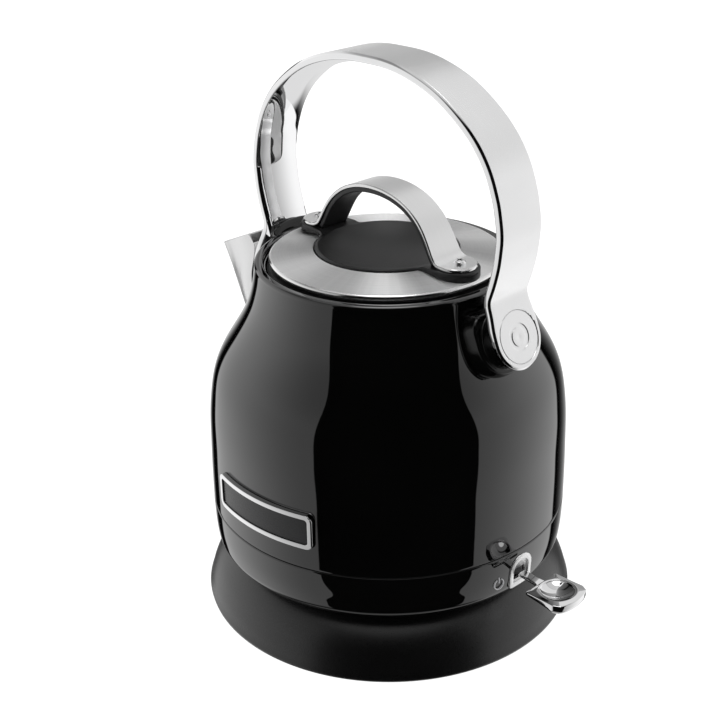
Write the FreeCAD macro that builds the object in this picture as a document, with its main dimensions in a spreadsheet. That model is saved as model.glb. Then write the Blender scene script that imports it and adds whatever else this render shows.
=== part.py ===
import FreeCAD, Part
import Sketcher
import math
import os
from FreeCAD import Placement, Rotation
from FreeCAD import Vector as V

# Electric kettle on a round power base.  Millimetres, +Z up.  The origin is the
# middle of the base on the table, the spout points to -X, the switch lever to +X
# and the name-plate place faces -Y.  The handle and the lid strap lie in the XZ plane.

os.makedirs("parts", exist_ok=True)
doc = FreeCAD.newDocument("electric_kettle")
sheet = doc.addObject("Spreadsheet::Sheet", "dims")

SIZES = {
    # power base
    "base_radius": 91.7, "base_top": 28.2, "base_lip": 0.8, "foot_height": 1.0, "foot_radius": 9.0,
    "foot_ring": 72.0, "plate_radius": 87.6, "plate_top": 4.0, "post_ring": 56.0, "post_radius": 4.0,
    "socket_radius": 18.5, "socket_top": 39.0, "socket_flange": 20.2, "gland_radius": 4.9, "gland_bore": 3.2,
    # connector between base and kettle
    "connector_radius": 24.0, "connector_flange": 30.5, "connector_low": 29.0, "connector_top": 43.0, "recess_radius": 19.3,
    "recess_top": 40.2, "pin_low": 30.5,
    # kettle body
    "cover_low": 28.5, "cover_radius": 80.5, "cover_top": 31.0, "band_low": 30.7, "band_top": 53.4,
    "band_radius": 86.8, "shell_low": 53.8, "shell_wall": 1.3, "rim_radius": 61.3, "rim_top": 172.8,
    "mouth_radius": 57.0, "ring_inner": 56.1, "ring_low": 160.0, "ring_top": 172.2,
    # vessel floor
    "floor_top": 56.0, "floor_low": 54.4, "floor_radius": 84.4, "spreader_radius": 66.0, "spreader_low": 51.4,
    "element_ring": 50.0, "element_radius": 4.0,
    # handle
    "handle_top": 267.2, "handle_width": 25.8, "handle_thick": 3.6, "grip_crown": 2.4, "tab_radius": 14.3, "tab_height": 157.05,
    "tab_reach": 80.03, "tab_tilt": 22.25, "cap_radius": 11.7, "cap_thick": 1.1,
    # lid
    "lid_radius": 54.5, "insert_radius": 33.2, "strap_top": 208.1, "strap_width": 17.0, "strap_thick": 1.6,
    "foot_level": 181.2, "foot_reach": 43.2, "foot_half": 9.6, "liner_thick": 2.4, "lid_screw_x": 45.1,
    "plug_radius": 51.0, "plug_low": 165.6, "seal_radius": 55.5,
    # switch
    "frame_face": 88.0, "frame_half": 7.7, "frame_low": 33.5, "frame_arch": 42.3, "pivot_x": 80.5,
    "pivot_z": 40.4, "pivot_radius": 1.5, "paddle_in": 97.8, "paddle_out": 119.2, "paddle_half": 11.0,
    "paddle_top": 41.4, "paddle_low": 35.4, "trip_x": 50.0, "trip_z": 43.6,
    # name-plate place
    "badge_half": 30.0, "badge_centre": 4.7, "badge_low": 65.2, "badge_high": 82.6, "badge_face": 88.7, "badge_border": 1.8,
    # spout
    "tip_x": 122.3, "tip_z": 148.8, "mouth_tilt": 24.5, "spout_wall": 1.4,
}
D = dict(SIZES)
for i, (k, v) in enumerate(SIZES.items(), 1):
    sheet.set("A%d" % i, k)
    sheet.set("B%d" % i, str(v))
    sheet.setAlias("B%d" % i, k)
doc.recompute()
for k in SIZES:
    D[k] = float(sheet.get(k))


# ---- helpers: a size is a number or words such as "band_radius - 2.2" ----
def num(e):
    if not isinstance(e, str):
        return float(e)
    total, sign = 0.0, 1.0
    for tok in e.split():
        if tok in "+-":
            sign = 1.0 if tok == "+" else -1.0
        else:
            total += sign * (float(tok) if tok[0] in "0123456789." else D[tok])
            sign = 1.0
    return total


def ref(e):
    return " ".join(t if t in "+-" or t[0] in "0123456789." else "dims." + t for t in e.split())


def new_body(name):
    b = doc.addObject("PartDesign::Body", name)
    b.Label = name
    return b


def plane(b, role):
    return [o for o in b.Origin.OriginFeatures if o.Role == role][0]


def new_sketch(b, role, name, shift=0):
    sk = b.newObject("Sketcher::SketchObject", name)
    sk.AttachmentSupport = [(plane(b, role), "")]
    sk.MapMode = "FlatFace"
    sk.AttachmentOffset = Placement(V(0, 0, num(shift)), Rotation())
    if isinstance(shift, str):
        sk.setExpression("AttachmentOffset.Base.z", ref(shift))
    return sk


def bind(sk, cons, words):
    ids = sk.addConstraint(cons)
    for i, w in zip(ids, words):
        if isinstance(w, str):
            sk.setExpression("Constraints[%d]" % i, ref(w))


def draw(sk, verts, curves=None):
    # closed outline; curves maps an edge to the points it passes through,
    # or to ("arc", point)
    curves = curves or {}
    pts = [V(num(x), num(y), 0) for x, y in verts]
    n = len(pts)
    ends = []
    for i in range(n):
        a, b = pts[i], pts[(i + 1) % n]
        if i in curves and curves[i][0] == "arc":
            m = curves[i][1]
            g = sk.addGeometry(Part.Arc(a, V(num(m[0]), num(m[1]), 0), b), False)
            ends.append((g, 1, 2) if sk.Geometry[g].StartPoint.distanceToPoint(a) < 1e-4 else (g, 2, 1))
        elif i in curves:
            bs = Part.BSplineCurve()
            bs.interpolate([a] + [V(num(x), num(y), 0) for x, y in curves[i]] + [b])
            ends.append((sk.addGeometry(bs, False), 1, 2))
        else:
            ends.append((sk.addGeometry(Part.LineSegment(a, b), False), 1, 2))
    sk.addConstraint([Sketcher.Constraint("Coincident", ends[i][0], ends[i][2], ends[(i + 1) % n][0],
                                          ends[(i + 1) % n][1]) for i in range(n)])
    cons, words = [], []
    for i, (x, y) in enumerate(verts):
        g, p = ends[i][0], ends[i][1]
        cons.append(Sketcher.Constraint("DistanceX", -1, 1, g, p, pts[i].x))
        words.append(x)
        cons.append(Sketcher.Constraint("DistanceY", -1, 1, g, p, pts[i].y))
        words.append(y)
    bind(sk, cons, words)


def ring(sk, x, y, r):
    g = sk.addGeometry(Part.Circle(V(num(x), num(y), 0), V(0, 0, 1), num(r)), False)
    bind(sk, [Sketcher.Constraint("DistanceX", -1, 1, g, 3, num(x)),
              Sketcher.Constraint("DistanceY", -1, 1, g, 3, num(y)),
              Sketcher.Constraint("Radius", g, num(r))], [x, y, r])


def turned(name, verts, curves=None, angle=360.0):
    b = new_body(name)
    sk = new_sketch(b, "XZ_Plane", name + "_profile")
    draw(sk, verts, curves)
    f = b.newObject("PartDesign::Revolution", name + "_turn")
    f.Profile = sk
    f.ReferenceAxis = (sk, ["V_Axis"])
    f.Angle = angle
    return b


def slab(name, role, start, length, paint):
    # pad from the plane at start, along the plane's own normal
    b = new_body(name)
    sk = new_sketch(b, role, name + "_outline", start)
    paint(sk)
    f = b.newObject("PartDesign::Pad", name + "_pad")
    f.Profile = sk
    f.Length = num(length)
    if isinstance(length, str):
        f.setExpression("Length", ref(length))
    return b


def boolean(kind, name, a, b):
    o = doc.addObject("Part::" + kind, name)
    o.Base, o.Tool = a, b
    o.Label = name
    return o


def rod(name, r, length, base, axis):
    c = doc.addObject("Part::Cylinder", name)
    c.Radius, c.Height = num(r), num(length)
    if isinstance(r, str):
        c.setExpression("Radius", ref(r))
    if isinstance(length, str):
        c.setExpression("Height", ref(length))
    c.Placement = Placement(V(*base), Rotation(V(0, 0, 1), V(*axis)))
    return c


def box(name, x0, x1, y0, y1, z0, z1):
    o = doc.addObject("Part::Box", name)
    o.Length, o.Width, o.Height = num(x1) - num(x0), num(y1) - num(y0), num(z1) - num(z0)
    o.Placement = Placement(V(num(x0), num(y0), num(z0)), Rotation())
    return o


def group(name, items):
    o = doc.addObject("Part::Compound", name)
    o.Links = items
    o.Label = name
    return o


def multi(name, items):
    o = doc.addObject("Part::MultiFuse", name)
    o.Shapes = items
    o.Label = name
    return o


def rect(sk, x0, x1, y0, y1):
    draw(sk, [(x0, y0), (x1, y0), (x1, y1), (x0, y1)])


def rounded(sk, cx, cy, hw, hh, r):
    # rounded rectangle from numbers
    k = r * (1 - math.sqrt(0.5))
    x0, x1, y0, y1 = cx - hw, cx + hw, cy - hh, cy + hh
    draw(sk, [(x0 + r, y0), (x1 - r, y0), (x1, y0 + r), (x1, y1 - r), (x1 - r, y1), (x0 + r, y1), (x0, y1 - r),
              (x0, y0 + r)],
         {1: ("arc", (x1 - k, y0 + k)), 3: ("arc", (x1 - k, y1 - k)), 5: ("arc", (x0 + k, y1 - k)),
          7: ("arc", (x0 + k, y0 + k))})


def polar(r, deg, z):
    return (r * math.cos(math.radians(deg)), r * math.sin(math.radians(deg)), z)


NODES = []


def node(o):
    NODES.append(o)
    return o


# ---------------- power base ----------------
cover = turned("base_cover_shell", [
    ("base_radius - 0.8", "base_lip"), ("base_radius", "base_lip + 0.8"), ("base_radius - 12.2", "base_top"),
    ("socket_radius + 0.1", "base_top"), ("socket_radius + 0.1", "base_top - 2.4"),
    ("base_radius - 14.7", "base_top - 2.4"), ("base_radius - 2.9", "base_lip")],
    {1: [(90.6, 4), (89.7, 8), (88.7, 12), (87.5, 16), (86.3, 20), (85.0, 23.4), (83.0, 26.2)],
     5: [(80.6, 23.8), (83.6, 19.6), (85.6, 15), (87.0, 9), (88.0, 5)]})


def posts(sk):
    for k in range(3):
        x, y, z = polar(D["post_ring"], 30 + 120 * k, 0)
        ring(sk, x, y, "post_radius")


def post_holes(sk):
    for k in range(3):
        x, y, z = polar(D["post_ring"], 30 + 120 * k, 0)
        ring(sk, x, y, 1.55)


cover_posts = slab("base_cover_posts", "XY_Plane", "plate_top", "base_top - 2.4 - plate_top", posts)
cover_holes = slab("base_cover_post_holes", "XY_Plane", "plate_top - 1", 14.0, post_holes)
gland_hole = rod("gland_hole", "gland_radius + 0.1", 20, polar(78, 135, 11.2), polar(1, 135, 0))
cover = boolean("Fuse", "base_cover_with_posts", cover, cover_posts)
cover = boolean("Cut", "base_cover_drilled", cover, cover_holes)
node(boolean("Cut", "base_cover", cover, gland_hole))


def plate_outline(sk):
    ring(sk, 0, 0, "plate_radius")
    for k in range(3):
        x, y, z = polar(D["post_ring"], 30 + 120 * k, 0)
        ring(sk, x, y, 1.8)


plate = slab("base_bottom_disc", "XY_Plane", "foot_height", "plate_top - foot_height", plate_outline)


def counterbores(sk):
    for k in range(3):
        x, y, z = polar(D["post_ring"], 30 + 120 * k, 0)
        ring(sk, x, y, 3.4)


bores = slab("base_plate_counterbores", "XY_Plane", "foot_height - 1", 2.8, counterbores)
node(boolean("Cut", "base_bottom_plate", plate, bores))


def feet(sk):
    for k in range(4):
        x, y, z = polar(D["foot_ring"], 45 + 90 * k, 0)
        ring(sk, x, y, "foot_radius")


node(slab("base_feet", "XY_Plane", 0, "foot_height", feet))


def base_screw_heads(sk):
    for k in range(3):
        x, y, z = polar(D["post_ring"], 30 + 120 * k, 0)
        ring(sk, x, y, 3.1)


def base_screw_shanks(sk):
    for k in range(3):
        x, y, z = polar(D["post_ring"], 30 + 120 * k, 0)
        ring(sk, x, y, 1.5)


screws = slab("base_screw_heads", "XY_Plane", "foot_height + 0.1", 1.65, base_screw_heads)
node(boolean("Fuse", "base_screws", screws, slab("base_screw_shanks", "XY_Plane", "foot_height + 1", 11.0,
                                                 base_screw_shanks)))
node(turned("base_socket", [
    (0, "base_top - 6.2"), ("socket_flange", "base_top - 6.2"), ("socket_flange", "base_top - 2.5"),
    ("socket_radius", "base_top - 2.5"), ("socket_radius", "socket_top - 1"), ("socket_radius - 1", "socket_top"),
    (11.8, "socket_top"), (11.8, 29.5), (8.8, 29.5), (8.8, "socket_top"), (4.5, "socket_top"), (4.5, 29.5),
    (0, 29.5)]))
c1 = turned("base_contact_pad", [(0, 29.5), (3.5, 29.5), (3.5, 30.1), (0, 30.1)])
c2 = turned("base_contact_ring", [(9.3, 29.5), (11.3, 29.5), (11.3, 30.1), (9.3, 30.1)])
node(group("base_contacts", [c1, c2]))
g1 = rod("gland_tube", "gland_radius", 8.4, polar(82.2, 135, 11.2), polar(1, 135, 0))
g2 = rod("gland_flange", "gland_radius + 1.8", 2.2, polar(82.2, 135, 11.2), polar(1, 135, 0))
g3 = rod("gland_through", "gland_bore", 12, polar(80, 135, 11.2), polar(1, 135, 0))
node(boolean("Cut", "cord_gland", boolean("Fuse", "gland_solid", g1, g2), g3))

# ---------------- connector ----------------
node(turned("kettle_connector", [
    ("recess_radius", "connector_low"), ("connector_flange", "connector_low"),
    ("connector_flange", "connector_low + 2"), ("connector_radius", "connector_low + 2"),
    ("connector_radius", "connector_top"),
    (0, "connector_top"), (0, "recess_top"), ("recess_radius", "recess_top")]))
p1 = turned("connector_pin", [(0, "pin_low"), (2.0, "pin_low"), (2.4, "pin_low + 0.6"), (2.4, "recess_top"),
                              (0, "recess_top")])
p2 = turned("connector_tube", [(9.7, "pin_low"), (10.9, "pin_low"), (10.9, "recess_top"), (9.7, "recess_top")])
node(group("connector_contacts", [p1, p2]))

# ---------------- kettle underside and band ----------------
under = turned("bottom_cover_disc", [
    ("connector_flange + 0.5", "cover_low"), ("cover_radius - 1.5", "cover_low"), ("cover_radius", "cover_low + 1.5"),
    ("cover_radius", "cover_top + 3"), ("cover_radius - 2", "cover_top + 3"), ("cover_radius - 2", "cover_top"),
    ("connector_flange + 0.5", "cover_top")])


def under_holes(sk):
    for k in range(3):
        x, y, z = polar(70, 60 + 120 * k, 0)
        ring(sk, x, y, 3.4)


under_bores = slab("bottom_cover_bores", "XY_Plane", "cover_low - 1", 2.4, under_holes)


def under_thru(sk):
    for k in range(3):
        x, y, z = polar(70, 60 + 120 * k, 0)
        ring(sk, x, y, 1.8)


under = boolean("Cut", "bottom_cover_bored", under, under_bores)
node(boolean("Cut", "bottom_cover", under, slab("bottom_cover_thru", "XY_Plane", "cover_low - 1", 6.0, under_thru)))


def uh(sk):
    for k in range(3):
        x, y, z = polar(70, 60 + 120 * k, 0)
        ring(sk, x, y, 3.1)


def us(sk):
    for k in range(3):
        x, y, z = polar(70, 60 + 120 * k, 0)
        ring(sk, x, y, 1.5)


node(boolean("Fuse", "bottom_cover_screws", slab("bottom_screw_heads", "XY_Plane", "cover_low + 0.2", 1.15, uh),
             slab("bottom_screw_shanks", "XY_Plane", "cover_low + 1", 9.0, us)))

BAND_OUT = [(84.5, 31.8), (85.5, 33.6), (85.95, 36), (86.35, 40), (86.65, 46)]
band = turned("lower_band_ring", [
    ("cover_radius + 0.1", "band_low + 0.5"), ("band_radius - 3.6", "band_low"), ("band_radius", "band_top"),
    ("band_radius - 2.2", "band_top"), ("cover_radius + 0.1", "band_low + 2.6")],
    {1: BAND_OUT, 3: [(84.2, 46), (83.7, 39), (83.1, 35.4), (82.2, 33.9)]})
band_solid = turned("band_envelope", [
    (0, "band_low"), ("band_radius - 3.6", "band_low"), ("band_radius", "band_top"), (0, "band_top")], {1: BAND_OUT})


def ears(sk):
    # side lugs that hold the switch pin
    rect(sk, "pivot_x - 4", "pivot_x + 5", "pivot_z - 4.4", "pivot_z + 4.4")


ear_a = slab("switch_lug_a", "XZ_Plane", 7.2, 2.4, ears)
ear_b = slab("switch_lug_b", "XZ_Plane", -9.6, 2.4, ears)
lugs = boolean("Common", "switch_lugs", boolean("Fuse", "switch_lug_pair", ear_a, ear_b), band_solid)
lug_hole = rod("switch_lug_hole", "pivot_radius + 0.02", 30, (D["pivot_x"], -15, D["pivot_z"]), (0, 1, 0))
band = boolean("Fuse", "lower_band_lugs", band, lugs)
band = boolean("Cut", "lower_band_drilled", band, lug_hole)


def arch(sk, half, low, mid):
    draw(sk, [(-half, low), (half, low), (half, mid), (-half, mid)], {2: ("arc", (0, mid + half))})


slot_tool = slab("band_slot", "YZ_Plane", 76.0, 20.0, lambda sk: arch(sk, 5.2, D["frame_low"] + 2.5, D["frame_arch"]))
node(boolean("Cut", "lower_band", band, slot_tool))

# ---------------- kettle shell ----------------
SHELL = [(86.75, 65), (86.6, 75), (86.35, 85), (85.7, 100), (84.8, 108), (82.2, 120), (78.6, 128), (73.7, 136),
         (68.9, 144), (65.2, 152), (63.4, 158), (62.0, 165)]


def inward(points, d):
    out = []
    for i in range(1, len(points) - 1):
        tx, tz = points[i + 1][0] - points[i - 1][0], points[i + 1][1] - points[i - 1][1]
        s = math.hypot(tx, tz)
        out.append((points[i][0] - d * tz / s, points[i][1] + d * tx / s))
    return out


FULL = [(D["band_radius"], D["shell_low"])] + SHELL + [(D["rim_radius"], D["rim_top"] - 1.2)]
SHELL_IN = list(reversed(inward(FULL, D["shell_wall"])))
shell = turned("kettle_shell_wall", [
    ("band_radius - shell_wall", "shell_low"), ("band_radius", "shell_low"), ("rim_radius", "rim_top - 1.2"),
    ("rim_radius - 1.2", "rim_top"), ("mouth_radius", "rim_top"), ("mouth_radius", "rim_top - 2"),
    ("rim_radius - 1.5", "rim_top - 2.4")], {1: SHELL, 6: SHELL_IN})
shell_solid = turned("shell_envelope", [
    (0, "shell_low"), ("band_radius", "shell_low"), ("rim_radius", "rim_top - 1.2"), (0, "rim_top - 1.2")], {1: SHELL})
node(turned("neck_ring", [("ring_inner", "ring_low"), ("mouth_radius - 0.4", "ring_low"),
                          ("mouth_radius", "ring_low + 4"), ("mouth_radius", "ring_top"), ("ring_inner", "ring_top")]))

# ---------------- spout: a horn of drop-shaped sections parallel to its mouth ----------------
alpha = math.radians(D["mouth_tilt"])
E1 = V(math.cos(alpha), 0, math.sin(alpha))
NN = V(-math.sin(alpha), 0, math.cos(alpha))
TIP = V(-D["tip_x"], 0, D["tip_z"])
# depth under the mouth, front, rear, half width
HORN = [(0, 0.0, 36.4, 8.6), (6, 0.66, 36.9, 9.2), (12, 1.3, 34.8, 10.0), (18.4, 2.0, 31.0, 11.2), (22.5, 2.45, 29.8, 12.1),
        (26.6, 2.9, 29.8, 13.2), (33.9, 3.7, 32.6, 15.2), (42, 4.6, 37.6, 17.4), (52, 5.7, 46.5, 20.0), (63, 6.9, 56.0, 22.0),
        (76, 8.4, 64.0, 23.0)]
DROP = [(0.0, 0.0), (0.035, 0.17), (0.13, 0.33), (0.3, 0.57), (0.48, 0.78), (0.65, 0.94), (0.79, 1.0), (0.91, 0.87),
        (0.98, 0.5), (1.0, 0.0)]


def horn(inset, top):
    wires = []
    for d, u0, u1, w in HORN:
        u0, u1, w = u0 + 1.25 * inset, u1 - inset, w - inset
        half = [(u0 + t * (u1 - u0), f * w) for t, f in DROP]
        loop = half + [(u, -y) for u, y in reversed(half[1:-1])]
        lift = top if d == 0 else 0.0
        pts = [TIP + E1 * u + V(0, y, 0) - NN * (d - lift) for u, y in loop]
        bs = Part.BSplineCurve()
        bs.interpolate(pts, PeriodicFlag=True)
        wires.append(Part.Wire([bs.toShape()]))
    return Part.makeLoft(wires, True, False)


horn_out = doc.addObject("Part::Feature", "spout_outside")
horn_out.Shape = horn(0.0, 0.0)
horn_in = doc.addObject("Part::Feature", "spout_channel")
horn_in.Shape = horn(D["spout_wall"], 0.4)
spout = boolean("Cut", "spout_walls", horn_out, horn_in)
spout = boolean("Cut", "spout_trimmed", spout, shell_solid)
node(boolean("Cut", "spout", spout, band_solid))
node(boolean("Cut", "kettle_shell", shell, horn_in))

# filter clipped behind the pouring hole, a curved frame along the inner wall
SHELL_F1 = list(reversed(inward(FULL, D["shell_wall"] + 0.6)))
SHELL_F2 = inward(FULL, D["shell_wall"] + 2.6)
SHELL_F3 = list(reversed(inward(FULL, D["shell_wall"] + 1.2)))
SHELL_F4 = inward(FULL, D["shell_wall"] + 2.0)


def between(pts, z0, z1):
    return [p for p in pts if z0 < p[1] < z1]


def at(pts, z):
    q = sorted(pts, key=lambda p: p[1])
    for a, b in zip(q, q[1:]):
        if a[1] <= z <= b[1]:
            return a[0] + (b[0] - a[0]) * (z - a[1]) / (b[1] - a[1])


def wall_band(name, outer, inner, z0, z1):
    # outer runs downwards, inner upwards
    o = between(outer, z0 + 1, z1 - 1)
    n = between(inner, z0 + 1, z1 - 1)
    return turned(name, [(at(inner, z0), z0), (at(inner, z1), z1), (at(outer, z1), z1), (at(outer, z0), z0)],
                  {0: n, 2: o})


fz0, fz1 = 82.0, 136.0


def filter_outline(sk):
    rounded(sk, 0, 109, 23.5, 25.5, 9)
    rounded(sk, 0, 109, 20.5, 22.5, 7)


def filter_window(sk):
    rounded(sk, 0, 109, 20.4, 22.4, 7)
    for i in range(-3, 4):
        for j in range(-3, 4):
            if abs(i) + abs(j) < 6:
                ring(sk, i * 5.4, 109 + j * 6.0, 1.5)


node(boolean("Common", "filter_frame", wall_band("filter_wall", SHELL_F1, SHELL_F2, fz0, fz1),
             slab("filter_frame_outline", "YZ_Plane", -95.0, 50.0, filter_outline)))
node(boolean("Common", "filter_mesh", wall_band("filter_sheet", SHELL_F3, SHELL_F4, fz0, fz1),
             slab("filter_mesh_outline", "YZ_Plane", -95.0, 50.0, filter_window)))

# ---------------- vessel floor and heater ----------------
node(turned("heater_plate", [(0, "floor_low"), ("floor_radius", "floor_low"), ("floor_radius", "floor_top"),
                             (0, "floor_top")]))
node(turned("floor_seal", [("floor_radius", "floor_low - 0.4"), ("floor_radius + 1", "floor_low - 0.4"),
                           ("floor_radius + 1", "floor_top + 1"), ("floor_radius", "floor_top + 1")]))
node(turned("heat_spreader", [(0, "spreader_low"), ("spreader_radius - 1", "spreader_low"),
                              ("spreader_radius", "spreader_low + 1"), ("spreader_radius", "floor_low"),
                              (0, "floor_low")]))
element = new_body("heating_element")
esk = new_sketch(element, "XZ_Plane", "heating_element_section")
ring(esk, "element_ring", "spreader_low - element_radius - 0.1", "element_radius")
ef = element.newObject("PartDesign::Revolution", "heating_element_turn")
ef.Profile = esk
ef.ReferenceAxis = (esk, ["V_Axis"])
ef.Angle = 312.0
element.Placement = Placement(V(0, 0, 0), Rotation(V(0, 0, 1), 24))
node(element)

# ---------------- control unit and trip lever ----------------
unit = slab("control_block", "XY_Plane", "connector_top + 0.6", 7.0, lambda sk: rounded(sk, 2, 0, 28, 20, 4))
arm_a = box("control_arm_a", 25.2, "trip_x + 4", -5.6, -3.6, "trip_z - 2.6", "trip_z + 2.6")
arm_b = box("control_arm_b", 25.2, "trip_x + 4", 3.6, 5.6, "trip_z - 2.6", "trip_z + 2.6")
unit = multi("control_unit_solid", [unit, arm_a, arm_b])
trip_hole = rod("trip_hole", 1.24, 20, (D["trip_x"], -10, D["trip_z"]), (0, 1, 0))
trip_room = box("trip_room", 26.2, "trip_x + 5", -3.6, 3.6, "trip_z - 5", "trip_z + 5")
unit = boolean("Cut", "control_unit_drilled", unit, trip_hole)
node(boolean("Cut", "control_unit", unit, trip_room))
node(turned("snap_disc", [(0, "spreader_low - 0.45"), (11, "spreader_low - 0.7"), (11, "spreader_low - 0.4"),
                          (0, "spreader_low - 0.15")]))
tpin = rod("trip_pivot_pin", 1.2, 12, (D["trip_x"], -6, D["trip_z"]), (0, 1, 0))
tpin.Label = "trip_pivot_pin"
node(tpin)
t_hub = rod("trip_hub", 2.7, 6.4, (D["trip_x"], -3.2, D["trip_z"]), (0, 1, 0))
t_arm = box("trip_arm", "trip_x - 15", "trip_x + 20", -2.2, 2.2, "trip_z - 0.7", "trip_z + 0.9")
t_bore = rod("trip_bore", 1.25, 20, (D["trip_x"], -10, D["trip_z"]), (0, 1, 0))
node(boolean("Cut", "trip_lever", boolean("Fuse", "trip_lever_solid", t_hub, t_arm), t_bore))

# ---------------- switch ----------------
frame = slab("escutcheon_frame", "YZ_Plane", 70.0, "frame_face - 70", lambda sk: (
    arch(sk, D["frame_half"], D["frame_low"], D["frame_arch"]),
    arch(sk, 5.4, D["frame_low"] + 2.3, D["frame_arch"])))
node(boolean("Cut", "switch_escutcheon", frame, band_solid))
pin = rod("switch_pivot_pin", "pivot_radius", 19.0, (D["pivot_x"], -9.5, D["pivot_z"]), (0, 1, 0))
pin.Label = "switch_pivot_pin"
node(pin)
# lever: dished paddle on a tapered neck, carried by a rocker on the pin
PI, PO, PH = D["paddle_in"], D["paddle_out"], D["paddle_half"]
paddle = slab("paddle", "XY_Plane", "paddle_low", "paddle_top - paddle_low", lambda sk: draw(
    sk, [(PI + 1.4, -PH + 0.1), (PO - 5.0, -PH), (PO - 3.0, -PH + 2.4), (PO - 3.0, PH - 2.4), (PO - 5.0, PH),
         (PI + 1.4, PH - 0.1), (PI, PH - 1.4), (PI, -PH + 1.4)],
    {1: ("arc", (PO - 3.5, -PH + 0.7)), 2: ("arc", (PO, 0)), 3: ("arc", (PO - 3.5, PH - 0.7)),
     5: ("arc", (PI + 0.35, PH - 0.5)), 7: ("arc", (PI + 0.35, -PH + 0.5))}))
dish = doc.addObject("Part::Sphere", "paddle_dish")
dish.Radius = 17.0
dish.Placement = Placement(V(107.4, 0, D["paddle_top"] + 14.6), Rotation())
neck = slab("paddle_neck", "XZ_Plane", -3.2, 6.4, lambda sk: draw(
    sk, [("pivot_x + 4.5", 38.7), (91.0, 38.7), (99.0, 38.4), (100.0, "paddle_top - 0.4"),
         (91.0, 41.5), ("pivot_x + 4.5", 41.7)]))
wedge = slab("paddle_underside", "XZ_Plane", -15.0, 30.0, lambda sk: draw(
    sk, [(96.0, "paddle_low - 2"), (115.0, "paddle_low - 2"), (115.0, "paddle_low"), (96.0, "paddle_low + 3.2")]))
lever = boolean("Cut", "paddle_dished", paddle, multi("paddle_tools", [dish, wedge]))
node(boolean("Fuse", "switch_lever", lever, neck))
r_hub = rod("rocker_hub", 2.8, 10.0, (D["pivot_x"], -5.0, D["pivot_z"]), (0, 1, 0))
r_tail = box("rocker_tail", "trip_x + 16", "pivot_x", -2.0, 2.0, "pivot_z - 0.9", "pivot_z + 0.9")
r_nose = box("rocker_nose", "pivot_x", "pivot_x + 4.5", -3.0, 3.0, 38.9, 41.5)
r_bore = rod("rocker_bore", "pivot_radius + 0.06", 30, (D["pivot_x"], -15, D["pivot_z"]), (0, 1, 0))
node(boolean("Cut", "switch_rocker", multi("rocker_solid", [r_hub, r_tail, r_nose]), r_bore))
# power symbol beside the switch: open ring with a bar, standing a little proud of the band
i_ring = slab("icon_ring", "YZ_Plane", 80.0, 6.95, lambda sk: (ring(sk, 0, 39.6, 2.85), ring(sk, 0, 39.6, 2.43)))
i_gap = box("icon_gap", 75, 95, -1.15, 1.15, 41.2, 43.6)
i_bar = box("icon_bar", 80, 86.95, -0.22, 0.22, 40.2, 43.2)
icon = boolean("Fuse", "icon_flat", boolean("Cut", "icon_open", i_ring, i_gap), i_bar)
icon.Placement = Placement(V(0, 0, 0), Rotation(V(0, 0, 1), -9.3))
node(boolean("Cut", "power_icon", icon, band_solid))
board = box("lamp_plate", 76.0, 77.6, -6, 6, 35.5, 46.0)
lamp = rod("lamp_bulb", 1.6, 3.5, (77.0, 0, 40), (1, 0, 0))
lb = boolean("Fuse", "lamp_board", board, lamp)
lb.Placement = Placement(V(0, 0, 0), Rotation(V(0, 0, 1), -16.0))
node(lb)

# ---------------- handle ----------------
tilt = math.radians(D["tab_tilt"])
OUT = [(10, 267.0), (18, 266.1), (28, 263.8), (36, 261.1), (44, 257.4), (50.5, 253.4), (56, 249.4), (61, 245.2),
       (65, 241.1), (68.5, 236.7), (71.5, 232.0), (73.8, 227.4), (75.6, 222.8), (77.2, 218.0), (78.3, 213.0),
       (79.2, 207.7), (79.5, 202.8), (79.1, 197.5), (78.4, 191.8), (77.2, 186.2), (75.7, 180.8), (74.5, 177.2),
       (73.8, 174.8), (73.75, 173.0), (74.2, 171.4), (75.15, 169.0), (76.35, 166.05)]
join = (D["tab_reach"] - math.tan(tilt) * 5.6, D["tab_height"] + 5.6)
foot = (D["tab_reach"] + math.tan(tilt) * 14.6, D["tab_height"] - 14.6)
half = [(0.0, D["handle_top"])] + OUT + [join]
th = D["handle_thick"]


def inset(points, d, first, last):
    out = []
    for i, p in enumerate(points):
        if i == 0:
            tx, tz = first
        elif i == len(points) - 1:
            tx, tz = last
        else:
            tx, tz = points[i + 1][0] - points[i - 1][0], points[i + 1][1] - points[i - 1][1]
        s = math.hypot(tx, tz)
        out.append((p[0] + d * tz / s, p[1] - d * tx / s))
    return out


down = (math.tan(tilt), -1.0)
inner_half = inset(half, th, (1.0, 0.0), down)
foot_in = (foot[0] - th * math.cos(tilt), foot[1] - th * math.sin(tilt))


def mirror(points):
    return [(-x, z) for x, z in points]


def handle_profile(sk):
    outer = list(reversed(mirror(half[1:-1]))) + [half[0]] + half[1:-1]
    inner = list(reversed(inner_half[1:-1])) + [inner_half[0]] + mirror(inner_half[1:-1])
    draw(sk, [(-foot[0], foot[1]), (-join[0], join[1]), join, foot, foot_in, inner_half[-1],
              (-inner_half[-1][0], inner_half[-1][1]), (-foot_in[0], foot_in[1])], {1: outer, 5: inner})


bar = slab("handle_bar", "XZ_Plane", -15.0, 30.0, handle_profile)


def handle_front(sk):
    hw, zc, r = 0.5 * D["handle_width"], D["tab_height"], D["tab_radius"]
    low = [(r * math.cos(k), zc + r * math.cos(tilt) * math.sin(k)) for k in [math.radians(-a) for a in range(165, 0, -15)]]
    draw(sk, [(-r, zc), (r, zc), (r, zc + 2.0), (hw, zc + 16.0), (hw, "handle_top + 5"), (-hw, "handle_top + 5"),
              (-hw, zc + 16.0), (-r, zc + 2.0)],
         {0: low, 2: [(r - 0.2, zc + 6.0), (hw + 0.4, zc + 11.5)],
          6: [(-hw - 0.4, zc + 11.5), (-r + 0.2, zc + 6.0)]})


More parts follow.
